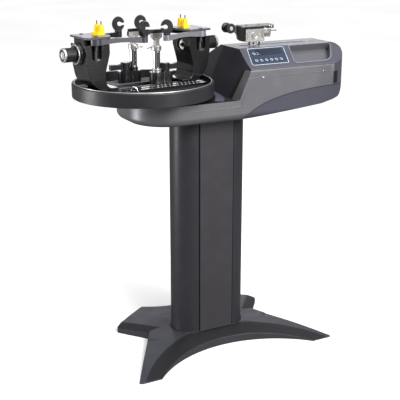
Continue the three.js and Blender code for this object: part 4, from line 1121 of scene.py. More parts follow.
def tree_of(name, inputs, points, rotation):
    tree = bpy.data.node_groups.new(name, "GeometryNodeTree")
    for label, kind in {**inputs, "Part": "Object", "Finish": "Material"}.items():
        tree.interface.new_socket(label, in_out="INPUT", socket_type=f"NodeSocket{kind}")
    tree.interface.new_socket("Geometry", in_out="OUTPUT", socket_type="NodeSocketGeometry")
    start = tree.nodes.new("NodeGroupInput")
    part = tree.nodes.new("GeometryNodeObjectInfo")
    place = tree.nodes.new("GeometryNodeInstanceOnPoints")
    real = tree.nodes.new("GeometryNodeRealizeInstances")
    finish = tree.nodes.new("GeometryNodeSetMaterial")
    end = tree.nodes.new("NodeGroupOutput")
    linked(
        tree,
        (start, "Part", part, "Object"),
        (*points(tree, start), place, "Points"),
        (part, "Geometry", place, "Instance"),
        (*rotation(tree, start), place, "Rotation"),
        (place, "Instances", real, "Geometry"),
        (real, "Geometry", finish, "Geometry"),
        (start, "Finish", finish, "Material"),
        (finish, "Geometry", end, "Geometry"),
    )
    return tree


def row_points(tree, start):
    line = tree.nodes.new("GeometryNodeMeshLine")
    linked(tree, (start, "Count", line, "Count"), (start, "Step", line, "Offset"))
    return line, "Mesh"


def ring_points(tree, start):
    ring = tree.nodes.new("GeometryNodeMeshCircle")
    linked(tree, (start, "Count", ring, "Vertices"), (start, "Radius", ring, "Radius"))
    return ring, "Mesh"


def ring_turns(tree, start):
    index = tree.nodes.new("GeometryNodeInputIndex")
    angle = tree.nodes.new("ShaderNodeMath")
    angle.operation = "MULTIPLY"
    turn = tree.nodes.new("ShaderNodeCombineXYZ")
    linked(tree, (index, "Index", angle, 0), (start, "Pitch", angle, 1), (angle, "Value", turn, "Z"))
    return turn, "Vector"


def given_points(tree, start):
    return start, "Spots"


def given_turn(tree, start):
    return start, "Turn"


ROW_INPUTS = {"Count": "Int", "Step": "Vector", "Turn": "Vector"}
RING_INPUTS = {"Count": "Int", "Radius": "Float", "Pitch": "Float"}
SPOT_INPUTS = {"Spots": "Geometry", "Turn": "Vector"}
trees = {
    "row": tree_of("parts in a row", ROW_INPUTS, row_points, given_turn),
    "ring": tree_of("parts round a ring", RING_INPUTS, ring_points, ring_turns),
    "spots": tree_of("parts on given points", SPOT_INPUTS, given_points, given_turn),
}


def grown(kind, finish, part, spots=(), **values):
    data = bpy.data.meshes.new(kind)
    data.from_pydata([tuple(place) for place in spots], [], [])
    made = shown(kind, data)
    tree = trees[kind]
    change = made.modifiers.new("set out", "NODES")
    change.node_group = tree
    given = {"Part": part, "Finish": finishes[finish], **values}
    for socket in tree.interface.items_tree:
        label = socket.name
        if socket.in_out == "INPUT" and label in given:
            change[socket.identifier] = given[label]
    settle(made)
    bpy.data.objects.remove(part)
    return made


def ring_of(count, radius, finish, part):
    return grown("ring", finish, part, Count=count, Radius=radius, Pitch=2 * math.pi / count)


# A cap screw with its socket, head up along Z, sunk as deep as it stands out
def screw_head(radius, height):
    head = stub(0, radius, -height, height, (0, 0, height / 2, 0), sides=BORE_SIDES)
    socket = bar(0, 0, radius / 2, 0, height + OVERRUN, sides=HEX_SIDES)
    return shaded(cut(head, socket))


def screws(spots, turn, radius, height, finish="chrome"):
    return grown("spots", finish, screw_head(radius, height), spots, Turn=turn)


FACING_FRONT = (math.pi / 2, 0, 0)
FACING_BACK = (-math.pi / 2, 0, 0)
FACING_UP = (0, 0, 0)


# Star base
def arc_radius(x, depth):
    return (x * x + depth * depth) / (2 * depth)


def arc_across(x, y, depth):
    radius = arc_radius(x, depth)
    half = math.asin(x / radius)
    points = []
    for k in range(BASE_ARC_STEPS + 1):
        angle = half * (2 * k / BASE_ARC_STEPS - 1)
        rise = depth - radius * (1 - math.cos(angle))
        points.append((radius * math.sin(angle), y - math.copysign(rise, y)))
    return points


def base_plan():
    front = arc_across(FRONT_TIP[0] - FRONT_TIP_WIDTH, -FRONT_TIP[1], FRONT_ARC_DEPTH)
    back = arc_across(*BACK_TIP_INNER, BACK_ARC_DEPTH)[::-1]
    return rounded([
        *front,
        (FRONT_TIP[0], -FRONT_TIP[1], TIP_ROUND),
        (*NOTCH, NOTCH_ROUND),
        (*BACK_TIP, TIP_ROUND),
        *back,
        (-BACK_TIP[0], BACK_TIP[1], TIP_ROUND),
        (-NOTCH[0], NOTCH[1], NOTCH_ROUND),
        (-FRONT_TIP[0], -FRONT_TIP[1], TIP_ROUND),
    ])


def softly_least(first, second, blend):
    share = np.maximum(blend - np.abs(first - second), 0) / blend
    return np.minimum(first, second) - share * share * blend / 4


def leg_roof(x, y, tip, tip_heights):
    reach = math.hypot(*tip)
    along = (x * tip[0] + y * tip[1]) / reach
    across = np.abs(y * tip[0] - x * tip[1]) / reach
    share = np.clip(along / (reach + OVERRUN), 0, 1) ** LEG_FALL
    ridge = BASE_CROWN + (tip_heights[0] - BASE_CROWN) * share
    flank = FLANK_HEIGHT + (tip_heights[1] - FLANK_HEIGHT) * share
    slope = np.clip((across - RIDGE_HALF) / (FLANK_HALF - RIDGE_HALF), 0, 1)
    beyond = np.maximum(across - FLANK_HALF, 0)
    return np.where(along > -OVERRUN, ridge + (flank - ridge) * slope - beyond, 0)


def band_height(x, y, chord, depth):
    radius = arc_radius(chord[0], depth)
    centre = chord[1] + math.copysign(radius - depth, chord[1])
    out = np.hypot(x, y - centre) - radius
    return BAND_SKIRT + BAND_RISE * out / BAND_WIDTH


# How far a point lies inside the crease that runs from tip to tip round the front arc
def crease_reach(x, y):
    half = FRONT_TIP[0] - FRONT_TIP_WIDTH * FRONT_RIDGE_SHARE
    radius = arc_radius(half, CREASE_DEPTH)
    centre = CREASE_DEPTH - FRONT_TIP[1] - radius
    return radius - np.hypot(x, y - centre)


# How far a point lies inside the bevel on the side of a back leg that faces forward
def flank_reach(x, y):
    run = np.subtract(BACK_TIP, NOTCH)
    run = run / np.hypot(*run)
    inward = (np.subtract(y, NOTCH[1]) * run[0]) - (np.subtract(np.abs(x), NOTCH[0]) * run[1])
    return np.where(y > NOTCH[1], FLANK_BAND - inward, 0)


def base_height(x, y):
    front = (FRONT_TIP[0] - FRONT_TIP_WIDTH * FRONT_RIDGE_SHARE, -FRONT_TIP[1])
    back = ((BACK_TIP[0] + BACK_TIP_INNER[0]) / 2, (BACK_TIP[1] + BACK_TIP_INNER[1]) / 2)
    legs = ((front, FRONT_TIP_HEIGHTS), (back, BACK_TIP_HEIGHTS))
    roofs = [leg_roof(x, y, (side * tip[0], tip[1]), tops) for side in (-1, 1) for tip, tops in legs]
    height = -softly_least(-roofs[0], -roofs[1], BASE_BLEND)
    for roof in roofs[2:]:
        height = -softly_least(-height, -roof, BASE_BLEND)
    height = softly_least(height, np.full_like(height, BASE_TOP), BASE_BLEND)
    height = softly_least(height, band_height(x, y, BACK_TIP_INNER, BACK_ARC_DEPTH), BASE_BLEND)
    height = height - CREASE_SLOPE * np.maximum(crease_reach(x, y), 0)
    height = height - FLANK_SLOPE * np.maximum(flank_reach(x, y), 0)
    return np.maximum(height, TIP_LEAST)


# Each point of a closed outline with its outward direction, lengthened at corners
def outward(points):
    count = len(points)
    area = sum(a[0] * b[1] - b[0] * a[1] for a, b in zip(points, points[1:] + points[:1]))
    side = math.copysign(1, area)
    found = []
    for k in range(count):
        here = Vector(points[k])
        before = (here - Vector(points[k - 1])).normalized()
        after = (Vector(points[(k + 1) % count]) - here).normalized()
        first = Vector((before.y, -before.x)) * side
        second = Vector((after.y, -after.x)) * side
        middle = (first + second).normalized()
        found.append(middle / max(middle.dot(first), LEAST_TURN_SHARE))
    return found


def offset(points, inset):
    return [tuple(Vector(p) - way * inset) for p, way in zip(points, outward(points))]


def boundary_loop(mesh):
    edge = next(edge for edge in mesh.edges if edge.is_boundary)
    start = edge.verts[0]
    loop = [start]
    here = edge.verts[1]
    while here is not start:
        loop.append(here)
        onward = [e for e in here.link_edges if e.is_boundary and e is not edge]
        edge = onward[0]
        here = edge.other_vert(here)
    return loop


def star_base():
    plan = offset(base_plan(), BASE_EDGE)
    mesh = bmesh.new()
    mesh.faces.new([mesh.verts.new((x, y, 0)) for x, y in plan])
    reach = FRONT_TIP[0]
    for axis in (0, 1):
        for place in np.arange(-reach + BASE_GRID / 2, reach, BASE_GRID):
            at = [0, 0, 0]
            way = [0, 0, 0]
            at[axis] = place
            way[axis] = 1
            every = mesh.verts[:] + mesh.edges[:] + mesh.faces[:]
            bmesh.ops.bisect_plane(mesh, geom=every, plane_co=at, plane_no=way)
    loop = boundary_loop(mesh)
    skin = mesh.faces[:]
    places = np.array([vert.co[:2] for vert in mesh.verts])
    heights = base_height(places[:, 0], places[:, 1])
    for vert, height in zip(mesh.verts, heights):
        vert.co.z = height
    rim = [tuple(vert.co[:2]) for vert in loop]
    tops = [vert.co.z for vert in loop]
    ways = outward(rim)

    def ring(out, heights):
        points = [Vector(p) + way * out for p, way in zip(rim, ways)]
        return [mesh.verts.new((*p, height)) for p, height in zip(points, heights)]

    rows = [loop]
    for k in range(1, BASE_EDGE_STEPS + 1):
        angle = math.pi / 2 * k / BASE_EDGE_STEPS
        drop = BASE_EDGE * (1 - math.cos(angle))
        rows.append(ring(BASE_EDGE * math.sin(angle), [top - drop for top in tops]))
    rows.append(ring(BASE_EDGE, [FINE / 2] * len(rim)))
    rows.append(ring(BASE_EDGE - FINE / 2, [0] * len(rim)))
    for first, second in zip(rows, rows[1:]):
        band(mesh, first, second)
    under = dict(zip(loop, rows[-1]))
    for face in skin:
        for vert in face.verts:
            if vert not in under:
                under[vert] = mesh.verts.new((*vert.co[:2], 0))
        mesh.faces.new([under[vert] for vert in reversed(face.verts)])
    made = held(mesh)
    made = fit(shaded(made, BASE_ANGLE), "star_base", "base", "frame", "base_coat", "base_casting")
    # Painted shade: the forward bevels of the crease and of the back legs' flanks take a darker copy of the
    # coat
    tinted(made, "bevel", lambda spot, way: way.z > BEVEL_LEAN and (
        crease_reach(spot.x, spot.y) > 0 or flank_reach(spot.x, spot.y) > 0
    ))
    # Painted light: the steep sides of the base take a lighter copy of the coat
    tinted(made, "painted_light_skirt", lambda spot, way: abs(way.z) < BEVEL_LEAN)


# Column
def stadium(radius):
    half = COLUMN_HALF - COLUMN_RADIUS + radius
    return centred(half, radius, radius)


def column():
    grooves = []
    for side in (-1, 1):
        middle = side * (COLUMN_PLATE_HALF + COLUMN_GROOVE / 2)
        low, high = middle - COLUMN_GROOVE / 2, middle + COLUMN_GROOVE / 2
        for face in (-1, 1):
            depths = spanned(face, COLUMN_RADIUS + OVERRUN, COLUMN_RADIUS - COLUMN_GROOVE_DEPTH)
            grooves.append(box(low, high, *depths, 0, COLUMN_TOP + OVERRUN))
    tube = cut(prism(stadium(COLUMN_RADIUS), BASE_TOP, COLUMN_TOP), *grooves)
    fit(eased(tube, NEAT_EDGE), "column_shaft", "column", "frame", "column_coat", "column_tube")
    for name, side in (("front", -1), ("back", 1)):
        near, far = spanned(side, COLUMN_RADIUS + GAP, COLUMN_PLATE_FACE)
        plate = box(-COLUMN_PLATE_HALF, COLUMN_PLATE_HALF, near, far, BASE_TOP + GAP, BODY_BOTTOM - GAP)
        cover = eased(plate, SOFT_EDGE)
        fit(cover, f"column_{name}_cover", "plate", "frame", "plate_coat", f"column_{name}_plate")
    weld = [(x, y, BASE_TOP + FINE) for x, y in stadium(COLUMN_RADIUS + FINE)]
    low = [(x, y, BASE_TOP) for x, y in stadium(COLUMN_RADIUS + 2 * FINE)]
    foot = lofted([low, weld])
    fit(shaded(foot), "column_foot_seam", "deep", "frame", "column_coat")


# Body shells: the same form as the solids, with finer rounds and worn edges
BEVEL_ANGLE = math.atan2(BODY_TOP - SHOULDER_HEIGHT, BODY_HALF - TOP_HALF)
bevel_frame = Matrix.Translation((0, -TOP_HALF, BODY_TOP)) @ Matrix.Rotation(BEVEL_ANGLE, 4, "X")


def cross_section(inset):
    half = BODY_HALF - inset
    top = BODY_TOP - inset
    flat = TOP_HALF - inset * math.tan(BEVEL_ANGLE / 2)
    shoulder = top - (half - flat) * math.tan(BEVEL_ANGLE)
    low = BODY_BOTTOM - OVERRUN
    return rounded([
        (-half, low),
        (half, low),
        (half, shoulder, SIDE_ROUND),
        (flat, top, SIDE_ROUND),
        (-flat, top, SIDE_ROUND),
        (-half, shoulder, SIDE_ROUND),
    ])


def side_profile(inset):
    left = NOSE_X - OVERRUN
    end = BODY_END_X - inset
    low = BODY_BOTTOM + inset
    return rounded([
        (left, low),
        (BELLY_START_X, low),
        (BELLY_MID[0], low + BELLY_MID[1], END_ROUND),
        (BELLY_END[0], low + BELLY_END[1], END_ROUND),
        (end - END_FOOT[0], low + END_FOOT[1], END_ROUND),
        (end, END_SHOULDER_HEIGHT, END_ROUND),
        (end, BODY_TOP - inset, TOP_END_ROUND),
        (left, BODY_TOP - inset),
    ])


def body_plan(inset):
    half = BODY_HALF - inset
    left = NOSE_X + inset
    right = BODY_END_X - inset
    return rounded([
        (left, half, NOSE_RADIUS - inset),
        (left, -half, NOSE_RADIUS - inset),
        (right, -half, BODY_END_RADIUS - inset),
        (right, half, BODY_END_RADIUS - inset),
    ], NOSE_ARC)


def end_face(inset):
    face = END_FACE_TOP_X + inset
    half = BODY_HALF + OVERRUN
    fold = (face + END_FOLD[0], END_FOLD[1])
    corner = face + END_CORNER_BACK
    far = BODY_END_X + BODY_HALF
    plan = rounded([
        (face, END_CREASE_Y, SIDE_ROUND),
        (face, -END_CREASE_Y, SIDE_ROUND),
        (fold[0], -fold[1], SIDE_ROUND),
        (corner, -half),
        (far, -half),
        (far, half),
        (corner, half),
        (fold[0], fold[1], SIDE_ROUND),
    ])
    rise = BODY_TOP - DECK_HEIGHT
    lean = Matrix.Identity(4)
    lean[0][2] = END_FACE_RUN / rise
    return moved(prism(plan, -rise - OVERRUN, OVERRUN), Matrix.Translation((0, 0, BODY_TOP)) @ lean)


# The lower part of the form, its under edge rounded in
def under_form(inset):
    low = BODY_BOTTOM + inset
    levels = [(UNDER_ROUND, low - OVERRUN)]
    for k in range(UNDER_STEPS + 1):
        angle = math.pi / 2 * k / UNDER_STEPS
        levels.append((UNDER_ROUND * (1 - math.sin(angle)), low + UNDER_ROUND * (1 - math.cos(angle))))
    levels.append((0, DECK_HEIGHT - inset))
    return lofted([[(x, y, z) for x, y in body_plan(inset + draw)] for draw, z in levels])


def body_form(inset):
    plan = body_plan(inset)
    reach = BODY_HALF + OVERRUN
    lower = under_form(inset)
    section = prism(cross_section(inset), NOSE_X - OVERRUN, BODY_END_X + OVERRUN, "x")
    upper = common(prism(plan, DECK_HEIGHT - inset - OVERRUN, BODY_TOP + OVERRUN), end_face(inset), section)
    return common(join(lower, upper), prism(side_profile(inset), -reach, reach, "y"))


def swoosh(shift):
    start = Vector((BELLY_START_X, BODY_BOTTOM + shift))
    bend = Vector((SWOOSH_BEND[0], SWOOSH_BEND[1] + shift))
    end = Vector((SIDE_END_X, SWOOSH_END_HEIGHT + shift))
    shares = [k / SWOOSH_STEPS for k in range(SWOOSH_STEPS + 1)]
    return [tuple(start * (1 - t) ** 2 + bend * (2 * t * (1 - t)) + end * t * t) for t in shares]


def side_region(grow):
    left = NOSE_X - OVERRUN
    return [
        (left, BODY_BOTTOM - OVERRUN),
        (BELLY_START_X, BODY_BOTTOM - OVERRUN),
        *swoosh(0),
        (SIDE_END_TOP_X + grow, PANEL_TOP_HEIGHT + grow),
        (PANEL_HEAD_X - grow, PANEL_TOP_HEIGHT + grow),
        (PANEL_FOOT_X - grow, DECK_HEIGHT + grow),
        (left, DECK_HEIGHT + grow),
    ]


def belly_region(grow):
    right = BODY_END_X + OVERRUN
    return [
        (BELLY_START_X + SEAM, BODY_BOTTOM - OVERRUN),
        *[(x + SEAM, z) for x, z in swoosh(-SEAM)],
        (right, SWOOSH_END_HEIGHT - SEAM + grow),
        (right, BODY_BOTTOM - OVERRUN),
    ]


def on_bevel(points, deep, proud):
    return moved(prism(points, deep, proud), bevel_frame)


def leaning(left, start, width, drop, radii, shortfall=0):
    low = start + drop
    return rounded([
        (left - BEVEL_LEAN_SHARE * start, -start, radii[0]),
        (left + width - BEVEL_LEAN_SHARE * start, -start, radii[1]),
        (left + width - shortfall - BEVEL_LEAN_SHARE * low, -low, radii[2]),
        (left - BEVEL_LEAN_SHARE * low, -low, radii[3]),
    ])


def leaning_frame(left, start, width, drop, inset, radii, shortfall=0):
    sizes = (left + inset, start + inset, width - 2 * inset, drop - 2 * inset)
    return leaning(*sizes, [max(radius - inset, LEAST_ROUND) for radius in radii], shortfall)


def panel_shape(inset):
    return leaning_frame(PANEL_LEFT, PANEL_START, PANEL_WIDTH, PANEL_DROP, inset, [PANEL_CORNER] * 4)


def tray_shape(inset):
    radii = [TRAY_CORNER, TRAY_CORNER, TRAY_BIG_CORNER, TRAY_CORNER]
    return leaning_frame(TRAY_LEFT, TRAY_START, TRAY_WIDTH, TRAY_DROP, inset, radii, TRAY_SHORTFALL)


def window_shape(inset):
    left = PANEL_LEFT + WINDOW_LEFT
    return leaning_frame(left, PANEL_START + WINDOW_INSET, WINDOW_WIDTH, WINDOW_DROP, inset, [FINE] * 4)


def key_centres():
    row_x = PANEL_LEFT - BEVEL_LEAN_SHARE * (PANEL_START + KEY_ROW) + KEY_FIRST
    row = [(row_x + k * KEY_PITCH, -PANEL_START - KEY_ROW) for k in range(KEY_COUNT)]
    return [(PANEL_LEFT + POWER_KEY[0], -PANEL_START - POWER_KEY[1]), *row]


def twin(made):
    return shown(made.name, made.data.copy())


def back_opening(x, half, half_height):
    across = (x - half - GAP, x + half + GAP)
    upward = (INLET_HEIGHT - half_height - GAP, INLET_HEIGHT + half_height + GAP)
    return box(*across, BODY_HALF - 2 * OVERRUN, BODY_HALF + OVERRUN, *upward)


def body_shells():
    reach = BODY_HALF + OVERRUN
    shell = cut(body_form(0), body_form(BODY_WALL))
    column_hole = prism(stadium(COLUMN_RADIUS + GAP), BODY_BOTTOM - OVERRUN, COLUMN_TOP + COLUMN_ROOM)
    holes = [
        bar(TURNTABLE_X, 0, HUB_RADIUS - OVERRUN, DECK_HEIGHT - 2 * OVERRUN, DECK_HEIGHT + OVERRUN),
        back_opening(INLET_X, *INLET_HALF),
        back_opening(SWITCH_X, *SWITCH_HALF),
    ]
    slot = prism(slot_shape(0), BODY_TOP - 2 * OVERRUN, BODY_TOP + OVERRUN)
    side = common(twin(shell), prism(side_region(0), -reach, reach, "y"))
    side = cut(side, twin(column_hole), *holes)
    belly = common(twin(shell), prism(belly_region(0), -reach, reach, "y"))
    belly = cut(belly, twin(column_hole))
    key_holes = [
        on_bevel(circle(x, y, KEY_RADIUS + GAP, PIN_SIDES), -2 * OVERRUN, OVERRUN) for x, y in key_centres()
    ]
    cover = cut(
        shell,
        prism(side_region(SEAM), -reach, reach, "y"),
        prism(belly_region(SEAM), -reach, reach, "y"),
        column_hole,
        slot,
        on_bevel(panel_shape(0), -PANEL_THICK - GAP, OVERRUN),
        on_bevel(tray_shape(0), -2 * OVERRUN, OVERRUN),
        *key_holes,
    )
    fit(eased(side, SHELL_EDGE), "side_housing", "side", "frame", "housing_grey", "lower_housing")
    fit(eased(belly, SHELL_EDGE), "belly_shell", "slate", "frame", "cover_slate", "belly_cover")
    cover = fit(eased(cover, SHELL_EDGE), "top_shell", "slate", "frame", "cover_slate", "top_cover")
    # Painted shade: the end face of the top shell, turned away from the lamps, takes a darker copy of the
    # slate
    tinted(cover, "shade", lambda spot, way: way.x < -END_FACING and spot.z > DECK_HEIGHT + GAP)


# Trim of the body: panel, window, keys, tray, slot, screws, vents and inlet
def bevel_ring(shape, outer, inner, low, high):
    hole = on_bevel(shape(inner), low - OVERRUN, high + OVERRUN)
    return cut(on_bevel(shape(outer), low, high), hole)


def control_panel():
    below = -PANEL_THICK - OVERRUN
    holes = [on_bevel(circle(x, y, KEY_RADIUS + GAP, HOLE_SIDES), below, OVERRUN) for x, y in key_centres()]
    recess = on_bevel(window_shape(0), -WINDOW_THICK, OVERRUN)
    plate = cut(on_bevel(panel_shape(GAP), -PANEL_THICK, 0), recess, *holes)
    fit(eased(plate, FINE_EDGE), "panel_plate", "film", "frame", "panel_film", "control_panel")
    border = bevel_ring(panel_shape, GAP, GAP + PANEL_LINE, -GAP, 2 * GAP)
    fit(eased(border, TRACE_EDGE), "panel_border", "print", "frame", "panel_film")
    glass = on_bevel(window_shape(GAP), GAP - WINDOW_THICK, GAP)
    fit(eased(glass, HAIR_EDGE), "panel_window", "window", "frame", "display_film", "display_window")
    marks = []
    left, start = key_centres()[0]
    for k, length in enumerate(PANEL_MARKS):
        x = left + 2 * KEY_RADIUS - k * BEVEL_LEAN_SHARE * MARK_PITCH
        y = start + KEY_RADIUS - k * MARK_PITCH
        outline = oblong(x, x + length, y - MARK_HALF, y + MARK_HALF, MARK_HALF - GAP / 2)
        marks.append(on_bevel(outline, -GAP, GAP))
    fit(shaded(together(*marks)), "panel_marks", "print", "frame", "panel_film")


def panel_keys():
    names = ["power_key", *[f"key_{k + 1}" for k in range(KEY_COUNT)]]
    for name, (x, y) in zip(names, key_centres()):
        place = bevel_frame @ Matrix.Translation((x, y, 0))
        cap = lathe([
            (0, -KEY_DEPTH),
            (KEY_RADIUS, -KEY_DEPTH),
            (KEY_RADIUS, KEY_STAND, KEY_RING / 2),
            (KEY_RADIUS - 2 * KEY_RING, KEY_STAND, KEY_RING / 2),
            (0, KEY_STAND - KEY_RING),
        ], sides=CAP_SIDES)
        fit(moved(shaded(cap), place), f"{name}_cap", "key", name, "key_film", f"panel_{name}")
        bead = circle(KEY_RADIUS - KEY_RING, KEY_STAND, KEY_RING * KEY_RING_SHARE, LEAST_SIDES)
        ring = turned(bead, sides=CAP_SIDES)
        fit(moved(shaded(ring, RING_ANGLE), place), f"{name}_ring", "print", name, "key_film")


def tool_tray():
    tub = join(
        on_bevel(tray_shape(GAP), -TRAY_DEPTH, TRAY_LIP / 2),
        on_bevel(tray_shape(-TRAY_LIP), GAP, TRAY_LIP / 2),
    )
    room = on_bevel(tray_shape(TRAY_WALL), TRAY_WALL - TRAY_DEPTH, OVERRUN)
    fit(eased(cut(tub, room), PLAIN_EDGE), "tray_tub", "tub", "frame", "tray_black", "tool_tray")
    # The tray rim is a pale ring: painted highlight along the tray's upper edge
    rim = bevel_ring(tray_shape, -TRAY_LIP - GAP, -TRAY_LIP / 2, GAP, TRAY_LIP / 2 + GAP)
    fit(eased(rim, FILM_EDGE), "tray_rim", "edge", "frame", "cover_slate")


def slot_shape(out):
    half = SLOT_HALF + out
    return oblong(SLOT_X[0] - out, SLOT_X[1] + out, -half, half, half - GAP)


def slot_trim():
    # The slot lip is pale: painted highlight where its edges catch the light
    lip = cut(
        prism(slot_shape(SLOT_LIP), BODY_TOP - 2 * GAP, BODY_TOP + 3 * GAP),
        prism(slot_shape(0), BODY_TOP - OVERRUN, BODY_TOP + OVERRUN),
    )
    fit(eased(lip, SHARP_EDGE), "slot_lip", "edge", "frame", "cover_slate")
    # A shadow black liner inside the slot: painted shade in its depth
    liner = cut(
        prism(slot_shape(-GAP), BODY_TOP - SLOT_DEEP, BODY_TOP - 2 * GAP),
        prism(slot_shape(-4 * GAP), BODY_TOP - SLOT_DEEP - OVERRUN, BODY_TOP + OVERRUN),
    )
    fit(eased(liner, FILM_EDGE), "slot_liner", "deep", "frame", "cover_slate")


# A moulded line in the side panel that follows its cut top and slanted front
def side_line():
    slant = Vector((PANEL_HEAD_X - PANEL_FOOT_X, PANEL_TOP_HEIGHT - DECK_HEIGHT)).normalized()
    inward = Vector((slant.y, -slant.x)) * LINE_INSET
    foot = Vector((PANEL_FOOT_X, DECK_HEIGHT)) + inward
    level = BODY_SCREWS[0][1]
    corner = foot + slant * ((level - foot.y) / slant.y)
    corners = [
        (NOSE_X + NOSE_RADIUS, DECK_HEIGHT - LINE_DROP),
        (foot.x - LINE_DROP, DECK_HEIGHT - LINE_DROP),
        tuple(foot),
        tuple(foot.lerp(corner, LINE_BEND_SHARE)),
        (corner.x + LINE_INSET, level),
    ]
    ends = {-1: SIDE_END_X - LINE_INSET, 1: INLET_X - INLET_HALF[0] - LINE_INSET}
    for side, end in ends.items():
        path = [(x, side * BODY_HALF, z) for x, z in [*corners, (end, level)]]
        name = "front" if side < 0 else "back"
        line = rod(smooth_path(path, LONG_STEPS), LINE_RADIUS, LEAST_SIDES)
        fit(shaded(line, WIRE_ANGLE), f"side_line_{name}", "side", "frame", "housing_grey")
    for name, side, turn in (("side", -1, FACING_FRONT), ("back", 1, FACING_BACK)):
        spots = [(x, side * (BODY_HALF + GAP), z) for x, z in BODY_SCREWS]
        fit(screws(spots, turn, *SIDE_SCREW), f"{name}_screws", "chrome", "frame", "housing_grey")


def end_strip():
    reach = BODY_HALF + OVERRUN
    skin = cut(body_form(-GAP), body_form(GAP))
    region = rounded([
        (STRIP_X, STRIP_LOW, STRIP_EDGE),
        (STRIP_X + STRIP_WIDTH, STRIP_LOW + OVERRUN, STRIP_EDGE),
        (STRIP_X + STRIP_WIDTH, STRIP_HIGH, STRIP_EDGE),
        (STRIP_X, STRIP_HIGH, STRIP_EDGE),
    ])
    strip = common(skin, prism(region, -reach, reach, "y"))
    fit(shaded(strip), "end_strip", "deep", "frame", "cover_slate")


# Dark seams where the shells meet
def shell_seams():
    reach = BODY_HALF + OVERRUN
    right = BODY_END_X + OVERRUN
    skin = cut(body_form(-GAP / 2), body_form(GAP))
    outer = prism(side_region(SEAM + GAP), -reach, reach, "y")
    upper = cut(outer, prism(side_region(-GAP), -reach, reach, "y"))
    fit(shaded(common(twin(skin), upper)), "side_seam", "deep", "frame", "cover_slate")
    lower = prism([
        *swoosh(2 * GAP),
        (right, SWOOSH_END_HEIGHT + 2 * GAP),
        (right, SWOOSH_END_HEIGHT - SEAM - 2 * GAP),
        *reversed(swoosh(-SEAM - 2 * GAP)),
    ], -reach, reach, "y")
    fit(shaded(common(skin, lower)), "belly_seam", "deep", "frame", "cover_slate")


# A raised moulding on the deck that hugs the turntable
def deck_moulding():
    rings = []
    for k in range(MOULDING_STEPS + 1):
        share = 2 * k / MOULDING_STEPS - 1
        angle = MOULDING_HALF_ANGLE * share
        swell = math.cos(math.pi / 2 * share) ** MOULDING_SWELL if abs(share) < 1 else 0
        crest = DECK_HEIGHT + FINE + MOULDING_HEIGHT * swell
        section = [
            (MOULDING_RADIUS, DECK_HEIGHT - GAP),
            (MOULDING_RADIUS + MOULDING_WIDTH, DECK_HEIGHT - GAP),
            *[(MOULDING_RADIUS + MOULDING_WIDTH * out, DECK_HEIGHT + (crest - DECK_HEIGHT) * up)
              for out, up in MOULDING_SHARES],
            (MOULDING_RADIUS + MOULDING_WIDTH * MOULDING_CREST_SHARE, crest),
            (MOULDING_RADIUS, crest - GAP),
        ]
        rings.append([(TURNTABLE_X + r * math.cos(angle), r * math.sin(angle), z) for r, z in section])
    fit(shaded(lofted(rings), SWELL_ANGLE), "deck_moulding", "slate", "frame", "cover_slate")


def back_fittings():
    fit(refined("power_inlet", CRISP_EDGE), "inlet_socket", "tray", "frame", "tray_black", "power_inlet")
    fit(refined("power_switch", PLAIN_EDGE), "switch_rocker", "tray", "switch", "tray_black", "power_switch")
    out = INLET_HALF[0] + INLET_FLANGE[0] / 2
    face = BODY_HALF + GAP + INLET_FLANGE[1]
    spots = [(INLET_X + side * out, face, INLET_HEIGHT + INLET_HALF[1]) for side in (-1, 1)]
    fit(screws(spots, FACING_BACK, *SMALL_SCREW), "inlet_screws", "chrome", "frame", "tray_black")
    # Dark slats in shadow black: painted shade standing for the vent openings
    width, height = VENT_SIZE[0] / 2, VENT_SIZE[1] / 2
    slat = eased(box(-width, width, -GAP, FINE, -height, height), CRISP_EDGE)
    vents = grown("row", "deep", slat, Count=VENT_COUNT, Step=(VENT_PITCH, 0, 0), Turn=(0, VENT_LEAN, 0))
    moved(vents, Matrix.Translation((VENT_LEFT, BODY_HALF - GAP, INLET_HEIGHT)))
    fit(shaded(vents), "back_vents", "deep", "frame", "housing_grey")


# Turntable: pan with its bead, deck with rails, slotted rails, rack, latch and clip
def turntable_pan():
    inner = RIM_RADIUS - RIM_THICK
    profile = rounded([
        (SPINDLE_RADIUS + GAP, RIM_BOTTOM),
        (HUB_RADIUS, RIM_BOTTOM),
        (HUB_RADIUS, PAN_FLOOR),
        (inner - RIM_ROUND, PAN_FLOOR),
        (inner - RIM_ROUND, RIM_BOTTOM),
        (RIM_RADIUS, RIM_BOTTOM, FINE),
        (RIM_RADIUS, RIM_TOP, RIM_ROUND),
        (inner, RIM_TOP, FINE),
        (inner, PAN_FLOOR + PAN_THICK, 2 * FINE),
        (SPINDLE_RADIUS + GAP, PAN_FLOOR + PAN_THICK),
    ])
    pan = placed(shaded(turned(profile, sides=PAN_SIDES)))
    fit(pan, "pan", "rim", "turntable", "pan_coat", "turntable_pan")
    bead = turned(circle(inner + BEAD_RADIUS, RIM_TOP, BEAD_RADIUS, WIRE_SIDES), sides=PAN_SIDES)
    fit(placed(shaded(bead, RING_ANGLE)), "pan_bead", "silver", "turntable", "pan_coat")


def rail(length, channel=True):
    half = RAIL_WIDTH / 2
    low = DECK_TOP - FINE
    body = box(-length, length, -half, half, low, RAIL_TOP)
    if channel:
        lane = RAIL_CHANNEL / 2
        deep = RAIL_TOP - RAIL_CHANNEL_DEPTH
        body = cut(body, box(-length - OVERRUN, length + OVERRUN, -lane, lane, deep, RAIL_TOP + OVERRUN))
    return eased(body, PLAIN_EDGE)


def rail_reach(y):
    far = abs(y) + RAIL_WIDTH / 2
    return min(RAIL_REACH, math.sqrt(DECK_RADIUS ** 2 - far ** 2) - FINE)


